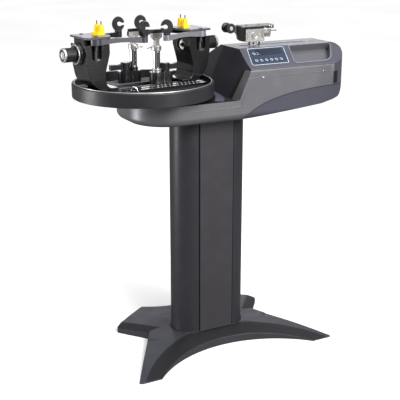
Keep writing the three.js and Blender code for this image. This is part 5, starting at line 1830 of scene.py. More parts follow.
def turntable_deck():
    slab = common(
        box(-DECK_RADIUS, DECK_RADIUS, -DECK_HALF, DECK_HALF, DECK_BOTTOM, DECK_TOP),
        bar(0, 0, DECK_RADIUS, DECK_BOTTOM - OVERRUN, DECK_TOP + OVERRUN, sides=PAN_SIDES),
    )
    slab = cut(slab, bar(0, 0, HUB_RADIUS, DECK_BOTTOM - OVERRUN, DECK_TOP + OVERRUN))
    slab = placed(eased(slab, PLAIN_EDGE))
    fit(slab, "deck_slab", "trough", "turntable", "silver_alloy", "turntable_deck")
    for side, name in ((-1, "front"), (1, "rear")):
        for k in range(RAIL_ROWS):
            y = side * (RAIL_INNER + k * RAIL_PITCH)
            slotted = side < 0 and k > 0
            made = placed(rail(rail_reach(y), not slotted), spot(0, y))
            finish = "gloss" if slotted else "rail"
            fit(made, f"deck_rail_{name}_{k + 1}", finish, "turntable", "silver_alloy")
    for k in (1, 2):
        y = -RAIL_INNER - k * RAIL_PITCH
        tick = eased(prism(centred(*TICK_HALF), -FINE, 0), FILM_EDGE)
        step = (TICK_PITCH, 0, 0)
        ticks = grown("row", "inlay", tick, Count=TICK_COUNT, Step=step, Turn=(0, 0, RACK_LEAN))
        ticks = placed(ticks, Matrix.Translation((TICK_LEFT, y, RAIL_TOP + GAP)))
        fit(shaded(ticks), f"rail_ticks_{k}", "inlay", "turntable", "silver_alloy")
    row = -RAIL_INNER - RAIL_PITCH / 2
    guide = [(x, row, DECK_TOP + FINE) for x in (-DECK_HALF, 0, RAIL_REACH - RAIL_PITCH)]
    wire = placed(shaded(rod(guide, 2 * FINE), WIRE_ANGLE))
    fit(wire, "deck_guide_rod", "chrome", "turntable", "silver_alloy")


def slotted_rack():
    low = PAN_FLOOR + PAN_THICK + GAP
    high = low + RACK_THICK
    half = RACK_LENGTH / 2
    width = RACK_WIDTH / 2
    body = prism(oblong(-half, half, -RACK_Y - width, -RACK_Y + width, 2 * width / 3), low, high)
    pitch = RACK_LENGTH / (RACK_SLOTS + 1)
    lean = RACK_SLOT[0]
    slots = []
    for k in range(RACK_SLOTS):
        x = -half + (k + 1) * pitch
        reach = RACK_SLOT[1] / 2
        slots.append(prism([
            (x - lean * 3 / 2, -RACK_Y - reach),
            (x - lean / 2, -RACK_Y - reach),
            (x + lean * 3 / 2, -RACK_Y + reach),
            (x + lean / 2, -RACK_Y + reach),
        ], low + RACK_THICK / 2, high + OVERRUN))
    rack = placed(eased(cut(body, *slots), SHARP_EDGE))
    fit(rack, "rack_bar", "tray", "turntable", "tray_black", "slotted_rack")
    width, length, thick = RACK_TICK
    tick = eased(box(-width / 2, width / 2, -length / 2, length / 2, 0, thick), FINE_EDGE)
    ticks = grown("row", "rail", tick, Count=RACK_SLOTS, Step=(pitch, 0, 0), Turn=(0, 0, RACK_LEAN))
    ticks = placed(ticks, Matrix.Translation((pitch - half, -RACK_Y, low + RACK_THICK / 2 - GAP)))
    fit(shaded(ticks), "rack_inlays", "rail", "turntable", "tray_black")


# Latch plates on the pan's floor at both ends and a bent spring clip beside the rails
def pan_fittings():
    floor = PAN_FLOOR + PAN_THICK
    length, width, thick = LATCH
    for name, (x, y, turn) in LATCHES.items():
        plate = prism(centred(length, width, LATCH_ROUND), floor, floor + thick)
        window = prism(centred(length / 2, width / 2, LATCH_ROUND / 2), floor, RIM_TOP)
        made = placed(eased(cut(plate, window), PLAIN_EDGE), spot(x, y, turn))
        fit(made, f"latch_{name}", "silver", "turntable", "pan_coat")
    low = DECK_TOP + FINE
    path = [(x, y, low + rise) for x, y, rise in CLIP_PATH]
    clip = rod(smooth_path(path, SHORT_STEPS), CLIP_RADIUS, WIRE_SIDES)
    clip = placed(shaded(clip, WIRE_ANGLE), spot(*CLIP))
    fit(clip, "spring_clip", "chrome", "turntable", "silver_alloy")


# Mounting towers: leg with arm pockets and inner window, spine, boss, plate and knob
def tower_leg(name, side):
    foot = RAIL_TOP + GAP
    profile = rounded([(side * out, *rest) for out, *rest in [
        (FOOT_INNER, foot),
        (FOOT_OUTER - FOOT_SWEEP, foot),
        (WAIST_OUTER, WAIST_HEIGHT - FOOT_HEIGHT * 4, TOWER_SWEEP),
        (TOWER_OUTER, SCREW_HEIGHT - BOSS_RADIUS / 2, TOWER_SWEEP),
        (TOWER_OUTER, TOWER_TOP),
        (TOWER_INNER, TOWER_TOP),
        (TOWER_INNER, SCREW_HEIGHT, POCKET_HALF),
        (WAIST_INNER, WAIST_HEIGHT, TOWER_SWEEP * 2 / 3),
        (WAIST_INNER - FOOT_HEIGHT / 2, foot + FOOT_HEIGHT, FOOT_HEIGHT * 6),
        (FOOT_INNER, foot + FOOT_HEIGHT, FINE),
    ]], FINE_ARC / 2)
    leg = eased(prism(profile, -TOWER_HALF, TOWER_HALF, "y"), TOWER_EDGE, FINE_STEPS, LEG_ANGLE)
    ends = spanned(side, PIN_OUT - POCKET_HALF, PIN_OUT + POCKET_HALF)
    tools = []
    for back in (-1, 1):
        near, far = spanned(back, TOWER_HALF - POCKET_DEPTH, TOWER_HALF + OVERRUN)
        shape = oblong(*ends, POCKET_FLOOR, TOWER_TOP + 2 * POCKET_HALF, POCKET_HALF - FINE)
        tools.append(prism(shape, near, far, "y"))
    window = spanned(side, TOWER_INNER - OVERRUN, TOWER_INNER + WINDOW_RECESS)
    tools.append(bar(0, SCREW_HEIGHT, WINDOW_RADIUS, *window, "x", BOSS_SIDES))
    bore = spanned(side, TOWER_INNER - OVERRUN, TOWER_OUTER + OVERRUN)
    tools.append(bar(0, SCREW_HEIGHT, TOWER_SCREW_RADIUS + GAP, *bore, "x"))
    body = placed(eased(cut(leg, *tools), POCKET_EDGE, FINE_STEPS, POCKET_ANGLE))
    fit(body, f"tower_{name}_leg", "gloss", f"{name}_tower", "gloss_alloy", f"tower_{name}")


def tower_details(name, side):
    body = f"{name}_tower"
    edge = circle(WINDOW_RADIUS + FINE, side * TOWER_INNER, FINE, LIP_SIDES)
    rim = placed(shaded(turned(edge, 0, SCREW_HEIGHT, "x", BOSS_SIDES), RING_ANGLE))
    fit(rim, f"tower_{name}_window_rim", "lever", body, "gloss_alloy")
    floor = TOWER_INNER + WINDOW_RECESS
    washer = lathe([
        (TOWER_SCREW_RADIUS + GAP, side * floor),
        (WINDOW_RADIUS - 2 * FINE, side * floor),
        (WINDOW_RADIUS - 2 * FINE, side * (floor - 3 * FINE), FINE),
        (TOWER_SCREW_RADIUS + GAP, side * (floor - 2 * FINE), FINE),
    ], 0, SCREW_HEIGHT, "x", BOSS_SIDES)
    fit(placed(shaded(washer)), f"tower_{name}_washer", "silver", body, "gloss_alloy")
    face = TOWER_OUTER + BOSS_THICK
    boss = lathe([
        (TOWER_SCREW_RADIUS + GAP, side * (TOWER_OUTER - FINE)),
        (BOSS_RADIUS, side * (TOWER_OUTER - FINE)),
        (BOSS_RADIUS, side * (face - 2 * FINE), 2 * FINE),
        (BOSS_RADIUS - 3 * FINE, side * (face - 2 * FINE), GAP),
        (BOSS_RADIUS - 4 * FINE, side * face, FINE),
        (TOWER_SCREW_RADIUS + GAP, side * face),
    ], 0, SCREW_HEIGHT, "x", DISC_SIDES)
    fit(placed(shaded(boss)), f"tower_{name}_boss", "gloss", body, "gloss_alloy")
    ends = spanned(side, TOWER_INNER + SPINE_HALF, TOWER_OUTER)
    spine = eased(box(*ends, -SPINE_HALF, SPINE_HALF, TOWER_TOP - FINE, ARM_BOTTOM + ARM_THICK), ROUND_EDGE)
    fit(placed(spine), f"tower_{name}_spine", "gloss", body, "gloss_alloy")
    pins = []
    for back in (-1, 1):
        for low, high, y, edge in (
            (POCKET_FLOOR - FINE, TOWER_TOP, PIN_Y - PIN_RADIUS, 0),
            (TOWER_TOP - POCKET_HALF, ARM_BOTTOM + ARM_THICK, PIN_Y, PLAIN_EDGE),
        ):
            place = (side * PIN_OUT, back * y)
            pins.append(stub(0, PIN_RADIUS, low, high, (0, 0, edge, 0), *place, sides=HOLE_SIDES))
    fit(placed(shaded(together(*pins))), f"tower_{name}_pins", "arm", body, "gloss_alloy")


def tower_plate(name, side):
    body = f"{name}_tower"
    low = ARM_BOTTOM + ARM_THICK + GAP
    shape = rounded([(side * out, *rest) for out, *rest in [
        (TOWER_INNER - PLATE_NOSE, -PLATE_HALF / 2, FINE),
        (TOWER_INNER, -PLATE_HALF, PLATE_NOSE),
        (TOWER_OUTER, -PLATE_HALF, PLATE_NOSE / 2),
        (TOWER_OUTER + FINE, 0, PLATE_NOSE),
        (TOWER_OUTER, PLATE_HALF, PLATE_NOSE / 2),
        (TOWER_INNER, PLATE_HALF, PLATE_NOSE),
        (TOWER_INNER - PLATE_NOSE, PLATE_HALF / 2, FINE),
    ]])
    hole = bar(side * GUARD_OUT, 0, GUARD_POST[0] + GAP, low - OVERRUN, low + PLATE_THICK + OVERRUN)
    plate = cut(prism(shape, low, low + PLATE_THICK), hole)
    plate = placed(eased(plate, BROAD_EDGE, FINE_STEPS))
    fit(plate, f"tower_{name}_top", "top", body, "cast_alloy", f"tower_plate_{name}")
    spots = [turntable_place @ Vector((side * PIN_OUT, back * PIN_Y, low + PLATE_THICK)) for back in (-1, 1)]
    fit(screws(spots, FACING_UP, *ARM_BOLT, "lever"), f"tower_{name}_bolts", "lever", body, "cast_alloy")


def tower_knob(name, side):
    body = f"{name}_knob"
    start = TOWER_OUTER + BOSS_THICK + GAP
    grip = start + KNOB_DISC[1]
    cap = grip + KNOB_GRIP[1]
    end = cap + KNOB_CAP[1]
    shaft = side * (TOWER_INNER + GAP)
    dark = lathe([
        (0, shaft),
        (TOWER_SCREW_RADIUS, shaft, MILLED_EDGE),
        (TOWER_SCREW_RADIUS, side * start),
        (KNOB_DISC[0] - FINE, side * start, PLAIN_EDGE),
        (KNOB_DISC[0] - FINE, side * grip, PLAIN_EDGE),
        (KNOB_GRIP[0], side * grip),
        (KNOB_GRIP[0], side * cap),
        (KNOB_CAP[0] - 2 * FINE, side * cap, CRISP_EDGE),
        (KNOB_CAP[0] - 2 * FINE, side * (end - FINE)),
        (0, side * (end - FINE)),
    ], 0, SCREW_HEIGHT, "x", DISC_SIDES)
    fit(placed(shaded(dark)), f"knob_{name}", "knob", body, "roller_black", f"tower_knob_{name}")
    turn = Matrix.Translation((side * grip, 0, SCREW_HEIGHT)) @ Matrix.Rotation(side * math.pi / 2, 4, "Y")
    out, half = KNOB_RIB
    rib = eased(box(-out, out, -half / 2, half / 2, FINE, KNOB_GRIP[1] - FINE), FINE_EDGE, COARSE_STEPS)
    ribs = placed(shaded(ring_of(KNOB_RIBS, KNOB_GRIP[0], "knob", rib)), turn)
    fit(ribs, f"knob_{name}_ribs", "knob", body, "roller_black")
    rings = []
    edges = (0, MILLED_EDGE, ROUND_EDGE, SHARP_EDGE)
    for radius, near, far, wide in (
        (KNOB_DISC[0], start, grip, KNOB_RING_SHARES[0] * FINE),
        (KNOB_CAP[0], cap + FINE, end, KNOB_RING_SHARES[1] * FINE),
    ):
        ends = (side * near, side * far)
        rings.append(stub(radius - wide, radius, *ends, edges, 0, SCREW_HEIGHT, "x", DISC_SIDES))
    dome = lathe([
        (0, side * (end - FINE - GAP)),
        (KNOB_DIMPLE[0] - FINE, side * (end - FINE - GAP)),
        (KNOB_DIMPLE[0] - FINE, side * (end - GAP), SHARP_EDGE),
        (KNOB_DIMPLE[0] / 2, side * (end - GAP), WIDE_EDGE),
        (0, side * (end - FINE)),
    ], 0, SCREW_HEIGHT, "x", ROUND_SIDES)
    bright = placed(shaded(together(*rings, dome)))
    fit(bright, f"knob_{name}_rings", "silver", body, "roller_black")


# Side arm along +X from its pin, arched underneath, with a bore at each end
def side_arm(name, side, row, back):
    high = ARM_BOTTOM + ARM_THICK - GAP
    root = bar(0, 0, ARM_ROOT_RADIUS, ARM_BOTTOM, high)
    tip = bar(ARM_REACH, 0, ARM_TIP_RADIUS, ARM_BOTTOM, high)
    beam = prism([
        (0, -ARM_NECK_HALF),
        (ARM_REACH, -ARM_TIP_HALF),
        (ARM_REACH, ARM_TIP_HALF),
        (0, ARM_NECK_HALF),
    ], ARM_BOTTOM, high)
    start, end = ARM_ROOT_RADIUS + FINE, ARM_REACH - ARM_TIP_RADIUS - FINE
    arch = [(start, ARM_BOTTOM - OVERRUN)]
    steps = 2 * SWOOSH_STEPS
    for k in range(steps + 1):
        share = k / steps
        arch.append((start + (end - start) * share, ARM_BOTTOM + ARM_ARCH * math.sin(math.pi * share) - GAP))
    arch.append((end, ARM_BOTTOM - OVERRUN))
    hollow = prism(arch, -ARM_ROOT_RADIUS, ARM_ROOT_RADIUS, "y")
    bores = [
        bar(0, 0, PIN_RADIUS + GAP, ARM_BOTTOM - OVERRUN, high + OVERRUN),
        bar(ARM_REACH, 0, HOOK_PIN_RADIUS + GAP, ARM_BOTTOM - OVERRUN, high + OVERRUN),
    ]
    made = eased(cut(join(root, tip, beam), hollow, *bores), CAST_EDGE)
    turn = back * ARM_ANGLE if side < 0 else HALF_TURN - back * ARM_ANGLE
    place = spot(side * PIN_OUT, back * PIN_Y, turn)
    finish, slot = ARM_FINISHES.get((row, name), ("lever", "gloss_alloy"))
    fit(placed(made, place), f"arm_{row}_{name}_bar", finish, f"{row}_{name}_arm", slot, f"arm_{row}_{name}")
    hook(f"{row}_{name}", place)


# Hook on its pin: an oval C with a round pocket and a narrower mouth
def hook(name, arm_place):
    low = ARM_BOTTOM + ARM_THICK
    middle = low + HOOK_RISE
    half = HOOK_THICK / 2
    oval = [(HOOK_HALF_WIDTH * x, middle + HOOK_HEIGHT / 2 * z) for x, z in circle(0, 0, 1, HUB_SIDES)]
    shell = prism(oval, -half, half, "y")
    foot = prism(
        oblong(-HOOK_BASE[0], HOOK_BASE[0] * HOOK_FOOT_SHARE, low + FINE, middle - HOOK_POCKET * 3 / 2),
        -half,
        half,
        "y",
    )
    pocket = bar(HOOK_MOUTH, middle, HOOK_POCKET, -HOOK_THICK, HOOK_THICK, "y")
    mouth = prism(
        oblong(HOOK_MOUTH, HOOK_HALF_WIDTH + OVERRUN, middle - HOOK_MOUTH, middle + HOOK_MOUTH),
        -HOOK_THICK,
        HOOK_THICK,
        "y",
    )
    claw = eased(cut(join(shell, foot), pocket, mouth), HOOK_EDGE, FINE_STEPS)
    edges = (0, CRISP_EDGE, WORN_EDGE, 0)
    base = stub(0, HOOK_BASE[0], low, low + HOOK_BASE[1], edges, sides=AXLE_SIDES)
    pin = bar(0, 0, HOOK_PIN_RADIUS, ARM_BOTTOM, low + FINE, sides=BORE_SIDES)
    reach = arm_place @ Vector((ARM_REACH, 0, 0))
    made = placed(shaded(together(claw, base, pin)), spot(reach.x, reach.y, HOOK_TURNS[name]))
    fit(made, f"hook_{name}_claw", "hook", f"{name}_hook", "hook_rubber", f"hook_{name}")


# Yellow guard: saddle with two pronged stops and their dark pins
def head_guard(name, side):
    low = ARM_BOTTOM + ARM_THICK + 2 * GAP + PLATE_THICK
    high = low + GUARD_THICK
    length = GUARD_LENGTH
    saddle = prism(rounded([
        (-length / 2, -GUARD_HALF, FINE),
        (length / 2, -GUARD_HALF, 3 * FINE),
        (length / 2 + GUARD_TAIL, 0, 2 * FINE),
        (length / 2, GUARD_HALF, 3 * FINE),
        (-length / 2, GUARD_HALF, FINE),
        (-length / 4, 0, FINE),
    ]), low, high)
    post = bar(0, 0, GUARD_POST[0], low - GAP - GUARD_POST[1], low + FINE, sides=BORE_SIDES)
    prongs = []
    pins = []
    for back in (-1, 1):
        y = back * PRONG_Y
        prongs.append(prism(rounded([
            (-length / 2, high - FINE),
            (length / 4, high - FINE),
            (length / 6, high + PRONG_HEIGHT, 2 * FINE),
            (-length / 3, high + PRONG_HEIGHT, 2 * FINE),
        ]), y - PRONG_HALF, y + PRONG_HALF, "y"))
        top = high + PRONG_HEIGHT + GUARD_PIN[1]
        edges = (0, 0, NEAT_EDGE, 0)
        pins.append(stub(0, GUARD_PIN[0], high, top, edges, -length / 12, y, sides=PIN_SIDES))
    place = spot(side * GUARD_OUT, 0, HALF_TURN if side < 0 else 0)
    body = f"{name}_guard"
    made = placed(eased(join(saddle, post, *prongs), SOFT_EDGE), place)
    fit(made, f"guard_{name}_saddle", "yellow", body, "guard_yellow", f"head_guard_{name}")
    fit(placed(shaded(together(*pins)), place), f"guard_{name}_pins", "wire", body, "guard_yellow")


def towers():
    for name, side in SIDES:
        tower_leg(name, side)
        tower_details(name, side)
        tower_plate(name, side)
        tower_knob(name, side)
        head_guard(name, side)
        for row, back in ROWS:
            side_arm(name, side, row, back)


# String clamps: waisted base with its socket, lock lever, post, comb head and wire cam
def clamp_base(name, place):
    low = RAIL_TOP + GAP
    high = low + CLAMP_HEIGHT
    left = -CLAMP_LENGTH / 2 - CLAMP_POST_SHIFT
    right = CLAMP_LENGTH / 2 - CLAMP_POST_SHIFT
    hub = -CLAMP_POST_SHIFT - CLAMP_HUB_SHIFT
    plan = oblong(left, right, -CLAMP_HALF, CLAMP_HALF, CLAMP_HALF - FINE)
    middle = (left + right) / 2
    waist = (CLAMP_HALF * 4 / 3, CLAMP_HALF / 2)
    waists = [bar(middle, back * waist[0], waist[1], low - OVERRUN, high + OVERRUN) for back in (-1, 1)]
    room = bar(0, 0, POST_RADIUS + GAP, high - CLAMP_HEIGHT / 3, high + OVERRUN)
    slab = eased(cut(prism(plan, low, high), *waists, room), CAST_EDGE)
    body = f"{name}_clamp"
    finish = "gloss" if name == "left" else "nickel"
    fit(placed(slab, place), f"clamp_{name}_glide", finish, body, "gloss_alloy", f"clamp_base_{name}")
    # A thin shadow black sole under the glide base: painted shade beneath it
    sole = [(x * (1 - SOLE_SHARE) + middle * SOLE_SHARE, y * (1 - SOLE_SHARE)) for x, y in plan]
    sole = eased(prism(sole, RAIL_TOP + GAP / 3, low + GAP / 3), 0)
    fit(placed(sole, place), f"clamp_{name}_sole", "deep", body, "gloss_alloy")
    top = high + SOCKET[1]
    inner = POST_RADIUS + GAP
    socket = lathe([
        (inner, high - FINE),
        (SOCKET[0], high - FINE),
        (SOCKET[0], high + SOCKET[1] / 3, SHARP_EDGE),
        (SOCKET[0] - FINE / 2, high + SOCKET[1] / 3, HAIR_EDGE),
        (SOCKET[0] - FINE / 2, high + SOCKET[1] / 2, HAIR_EDGE),
        (SOCKET[0], high + SOCKET[1] / 2, SHARP_EDGE),
        (SOCKET[0], top, FINE),
        (inner, top, SHARP_EDGE),
    ], sides=HUB_SIDES)
    finish = "gloss" if name == "left" else "silver"
    fit(placed(shaded(socket), place), f"clamp_{name}_socket", finish, body, "gloss_alloy")
    ends = (high - FINE, high + LEVER_HUB[1])
    pin = stub(0, LEVER_PIN_RADIUS, *ends, (0, 0, MILLED_EDGE, 0), hub, 0, sides=HOLE_SIDES)
    fit(placed(shaded(pin), place), f"clamp_{name}_pin", "chrome", body, "gloss_alloy")


def clamp_lever(name, place):
    low = RAIL_TOP + CLAMP_HEIGHT + 2 * GAP
    high = low + LEVER_HUB[1]
    hub = -CLAMP_POST_SHIFT - CLAMP_HUB_SHIFT
    inner = LEVER_PIN_RADIUS + GAP
    edges = (0, MILLED_EDGE, WIDE_EDGE, CRISP_EDGE)
    barrel = stub(inner, LEVER_HUB[0], low, high, edges, hub, 0, sides=HUB_SIDES)
    arm_low = low + (LEVER_HUB[1] - LEVER_THICK) / 2
    end = hub - LEVER_LENGTH
    blade = prism(rounded([
        (hub, -LEVER_HALF),
        (hub, LEVER_HALF),
        (end, LEVER_END_HALF, 2 * FINE),
        (end, -LEVER_END_HALF, 2 * FINE),
    ]), arm_low, arm_low + LEVER_THICK)
    crown = arm_low + LEVER_THICK + LEVER_LENGTH
    reach = LEVER_HUB[0]
    dip = bar((end + hub) / 2, crown, LEVER_LENGTH + FINE, -reach, reach, "y", DIP_SIDES)
    blade = cut(blade, dip, bar(hub, 0, inner, low, high))
    made = placed(eased(join(barrel, blade), EVEN_EDGE), place)
    fit(made, f"lever_{name}_arm", "lever", f"{name}_lever", "roller_black", f"clamp_lever_{name}")


def clamp_post(name, place):
    low = RAIL_TOP + CLAMP_HEIGHT * 2 / 3 + 2 * GAP
    edges = (0, 0, MILLED_EDGE, 0)
    post = stub(STEM[0] + GAP, POST_RADIUS, low, POST_TOP, edges, sides=DISC_SIDES)
    width, depth = PAINTED_REFLECTION_STRIPE
    start = RAIL_TOP + CLAMP_HEIGHT + SOCKET[1] + 2 * FINE
    turn = Matrix.Rotation(math.radians(PAINTED_REFLECTION_TURNS[name]), 4, "Z")
    outline = oblong(POST_RADIUS - depth, POST_RADIUS + OVERRUN, -width, width)
    groove = moved(prism(outline, start, POST_TOP - 3 * FINE), turn)
    body = f"{name}_post"
    finish = placed(eased(cut(post, groove), FILM_EDGE, COARSE_STEPS), place)
    fit(finish, f"post_{name}_shaft", "chrome", body, "ground_steel", f"clamp_post_{name}")
    # A dark strip laid in the groove: painted reflection of a dark stripe down the chrome post
    strip = oblong(POST_RADIUS - depth - GAP, POST_RADIUS - GAP, GAP - width, width - GAP)
    inlay = prism(strip, start + GAP, POST_TOP - 3 * FINE - GAP)
    inlay = placed(moved(eased(inlay, HAIR_EDGE), turn), place)
    fit(inlay, f"post_{name}_inlay", "wire", body, "ground_steel")


def clamp_head(name, place):
    low = POST_TOP + GAP
    body = f"{name}_head"
    neck_low = low + COLLAR[1]
    comb_low = neck_low + NECK_HEIGHT
    comb_top = comb_low + COMB_HEIGHT
    cam_height = low + COLLAR[1] / 2
    stem_low = POST_TOP - STEM[1] + GAP
    collar = lathe([
        (0, stem_low),
        (STEM[0], stem_low, SHARP_EDGE),
        (STEM[0], low),
        (COLLAR[0], low, MILLED_EDGE),
        (COLLAR[0], neck_low, WIDE_EDGE),
        (0, neck_low),
    ], sides=HUB_SIDES)
    hole = bar(0, cam_height, CAM_PIN_RADIUS + GAP, -COLLAR[0] - OVERRUN, 0, "y", BORE_SIDES)
    collar = placed(shaded(cut(collar, hole)), place)
    fit(collar, f"head_{name}_collar", "silver", body, "silver_alloy", f"clamp_head_{name}")
    neck = prism(rounded([
        (-COLLAR[0] / 2, neck_low - FINE),
        (COLLAR[0] / 2, neck_low - FINE),
        (NECK_HALF, comb_low - NECK_HALF, NECK_HALF),
        (COMB_HALF, comb_low, MILLED_EDGE),
        (COMB_HALF, comb_top, MILLED_EDGE),
        (-COMB_HALF, comb_top, MILLED_EDGE),
        (-COMB_HALF, comb_low, MILLED_EDGE),
        (-NECK_HALF, comb_low - NECK_HALF, NECK_HALF),
    ]), -COMB_THICK / 2, COMB_THICK / 2, "y")
    slot_low = comb_low + COMB_HEIGHT / 3
    half = STRING_GAP / 2
    far = comb_top + TOOTH_HEIGHT + OVERRUN
    slot = box(-COMB_HALF - OVERRUN, COMB_HALF + OVERRUN, -half, half, slot_low, far)
    screw = bar(0, comb_low + FINE, 2 * FINE, -COMB_THICK, 2 * FINE - COMB_THICK / 2, "y", BORE_SIDES)
    comb = placed(eased(cut(neck, slot, screw), NEAT_EDGE), place)
    fit(comb, f"head_{name}_comb", "silver", body, "silver_alloy")
    pitch = 2 * COMB_HALF / COMB_TEETH
    width = pitch * TOOTH_SHARE
    tooth = prism([
        (-width / 2, -FINE),
        (width / 2, -FINE),
        (width / 8, TOOTH_HEIGHT),
        (-width / 8, TOOTH_HEIGHT),
    ], -COMB_THICK / 2, COMB_THICK / 2, "y")
    trench = box(-pitch, pitch, -half, half, -OVERRUN, TOOTH_HEIGHT + OVERRUN)
    tooth = eased(cut(tooth, trench), FINE_EDGE, COARSE_STEPS)
    teeth = grown("row", "lever", tooth, Count=COMB_TEETH, Step=(pitch, 0, 0))
    teeth = placed(shaded(teeth), place @ Matrix.Translation((pitch / 2 - COMB_HALF, 0, comb_top)))
    fit(teeth, f"head_{name}_teeth", "lever", body, "silver_alloy")
    out, half = KNURL
    knurl = eased(box(-out, out, -half / 2, half / 2, 2 * FINE, COLLAR[1] - 2 * FINE), FILM_EDGE, FLAT_STEPS)
    knurls = shaded(ring_of(KNURL_COUNT, COLLAR[0], "silver", knurl))
    knurls = placed(knurls, place @ Matrix.Translation((0, 0, low)))
    fit(knurls, f"head_{name}_knurl", "silver", body, "silver_alloy")


def clamp_cam(name, place):
    height = POST_TOP + GAP + COLLAR[1] / 2
    face = -COLLAR[0] - GAP
    pin = bar(0, height, CAM_PIN_RADIUS, face - FINE, -CAM_PIN_RADIUS - GAP, "y", BORE_SIDES)
    edges = (0, ROUND_EDGE, CRISP_EDGE, 0)
    hub = stub(0, CAM_HUB[0], face - CAM_HUB[1], face, edges, 0, height, "y", HOLE_SIDES)
    middle = face - CAM_HUB[1] / 2
    reach = CAM_ARM[0]
    corners = [(0, middle, height), (reach / 2, middle, height), (reach, middle, height - FINE)]
    path = smooth_path(corners, SHORT_STEPS)
    made = placed(shaded(together(pin, hub, rod(path, CAM_ARM[1], WIRE_SIDES))), place)
    fit(made, f"cam_{name}_lever", "silver", f"{name}_cam", "ground_steel", f"clamp_cam_{name}")


def clamps():
    for name, (x, y, turn) in CLAMP_PLACES.items():
        place = spot(x, y, turn)
        clamp_base(name, place)
        clamp_lever(name, place)
        clamp_post(name, place)
        clamp_head(name, place)
        clamp_cam(name, place)


# Tension head: carriage, gripper block with nested frames, side plate, web, roller and jaw
def gripper():
    left, right = GRIPPER_X
    low, high = GRIPPER_Z
    half = GRIPPER_HALF
    frame_wide = GRIPPER_FRAME
    split = high - BRACKET_DROP

    def nested(inset, radius):
        return oblong(left + inset, right - inset, low + inset, split - inset, radius)

    block = prism(nested(0, frame_wide), -half, half, "y")
    shapes = []
    for inset, near, far in (
        (frame_wide, -half - OVERRUN, GRIPPER_BOSS[1] - half),
        (2 * frame_wide, GRIPPER_BOSS[1] - half - GAP, GRIPPER_BOSS[1] + FINE / 2 - half),
    ):
        shapes.append(prism(nested(inset, frame_wide / 2), near, far, "y"))
    block = eased(cut(block, *shapes), EVEN_EDGE)
    fit(block, "gripper_body", "silver", "carriage", "silver_alloy", "gripper_block")
    outlines = [nested(frame_wide * share, FRAME_ROUND) for share in INNER_FRAME_SHARES]
    lip = cut(
        prism(outlines[0], FINE - half, GRIPPER_BOSS[1] + GAP - half, "y"),
        prism(outlines[1], -half - OVERRUN, half, "y"),
    )
    fit(eased(lip, FINE_EDGE), "gripper_inner_frame", "silver", "carriage", "silver_alloy")
    across = ((left + right) / 2, (low + split) / 2)
    boss = lathe([
        (0, GRIPPER_BOSS[1] + FINE - half),
        (GRIPPER_BOSS[0], GRIPPER_BOSS[1] + FINE - half),
        (GRIPPER_BOSS[0], -half, MILLED_EDGE),
        (GRIPPER_BOSS[0] - FINE, -half, SHARP_EDGE),
        (GRIPPER_BOSS[0] - 2 * FINE, BOSS_DIMPLE - half, SHARP_EDGE),
        (0, BOSS_DIMPLE - half),
    ], *across, "y", BOSS_SIDES)
    fit(shaded(boss), "gripper_boss", "silver", "carriage", "silver_alloy")
    bracket = box(left + BRACKET_INSET, right, BRACKET_INSET / 2 - half, half, split, high)
    fit(eased(bracket, PLAIN_EDGE), "gripper_bracket", "lever", "carriage", "silver_alloy")
    x, z = JAW_PIVOT
    ear = prism(rounded([
        (right - FINE, z - JAW_EYE),
        (x + JAW_EYE, z - JAW_EYE, JAW_EYE),
        (x + JAW_EYE, z + JAW_EYE, JAW_EYE),
        (right - FINE, z + JAW_EYE),
    ]), -half, half, "y")
    room = box(right, x + 2 * JAW_EYE, -JAW_HALF - GAP, JAW_HALF + GAP, low, high)
    fit(eased(cut(ear, room), NEAT_EDGE), "gripper_ears", "silver", "carriage", "silver_alloy")
    pin = bar(x, z, JAW_PIN_RADIUS, GAP - half, half - GAP, "y", HOLE_SIDES)
    fit(eased(pin, FINE_EDGE), "gripper_jaw_pin", "chrome", "carriage", "silver_alloy")
    spots = [(right - FINE * 3, -half, z) for z in (low + 3 * FINE, split - 3 * FINE)]
    fit(screws(spots, FACING_FRONT, *GRIPPER_SCREW), "gripper_screws", "chrome", "carriage", "silver_alloy")


def carriage():
    mast = refined("tension_carriage", NEAT_EDGE)
    fit(mast, "carriage_mast", "silver", "carriage", "silver_alloy", "tension_carriage")
    low, high = BODY_TOP - 2 * OVERRUN, GRIPPER_Z[0]
    x, radius = TRIGGER
    radii = (radius + GAP / 3, radius + 2 * GAP)
    sleeve = stub(*radii, low, high - GAP, (0, 0, HAIR_EDGE, 0), x, 0, sides=PIN_SIDES)
    fit(shaded(sleeve), "trigger_sleeve", "wire", "carriage", "silver_alloy")


def side_plate():
    left = GRIPPER_X[0] - GAP
    shape = rounded([
        (SIDE_PLATE_LEFT, GRIPPER_Z[1], FINE),
        (SIDE_PLATE_LEFT + GRIPPER_FRAME, SIDE_PLATE_BOTTOM + SIDE_PLATE_STEP, GRIPPER_FRAME),
        (SIDE_PLATE_LEFT + GRIPPER_FRAME, SIDE_PLATE_BOTTOM, FINE),
        (left, SIDE_PLATE_BOTTOM),
        (left, GRIPPER_Z[1]),
    ])
    plate = prism(shape, -GRIPPER_HALF, GRIPPER_HALF, "y")
    grooves = []
    for k in (1, 2):
        x = SIDE_PLATE_LEFT + GRIPPER_FRAME + k * (left - SIDE_PLATE_LEFT - GRIPPER_FRAME) / 3
        outline = oblong(x - GAP, x + GAP, SIDE_PLATE_BOTTOM - OVERRUN, GRIPPER_Z[1] + OVERRUN)
        grooves.append(prism(outline, -GRIPPER_HALF - OVERRUN, PLATE_GROOVE_DEPTH - GRIPPER_HALF, "y"))
    made = eased(cut(plate, *grooves), CRISP_EDGE)
    fit(made, "side_plate_body", "gloss", "carriage", "gloss_alloy", "gripper_side_plate")


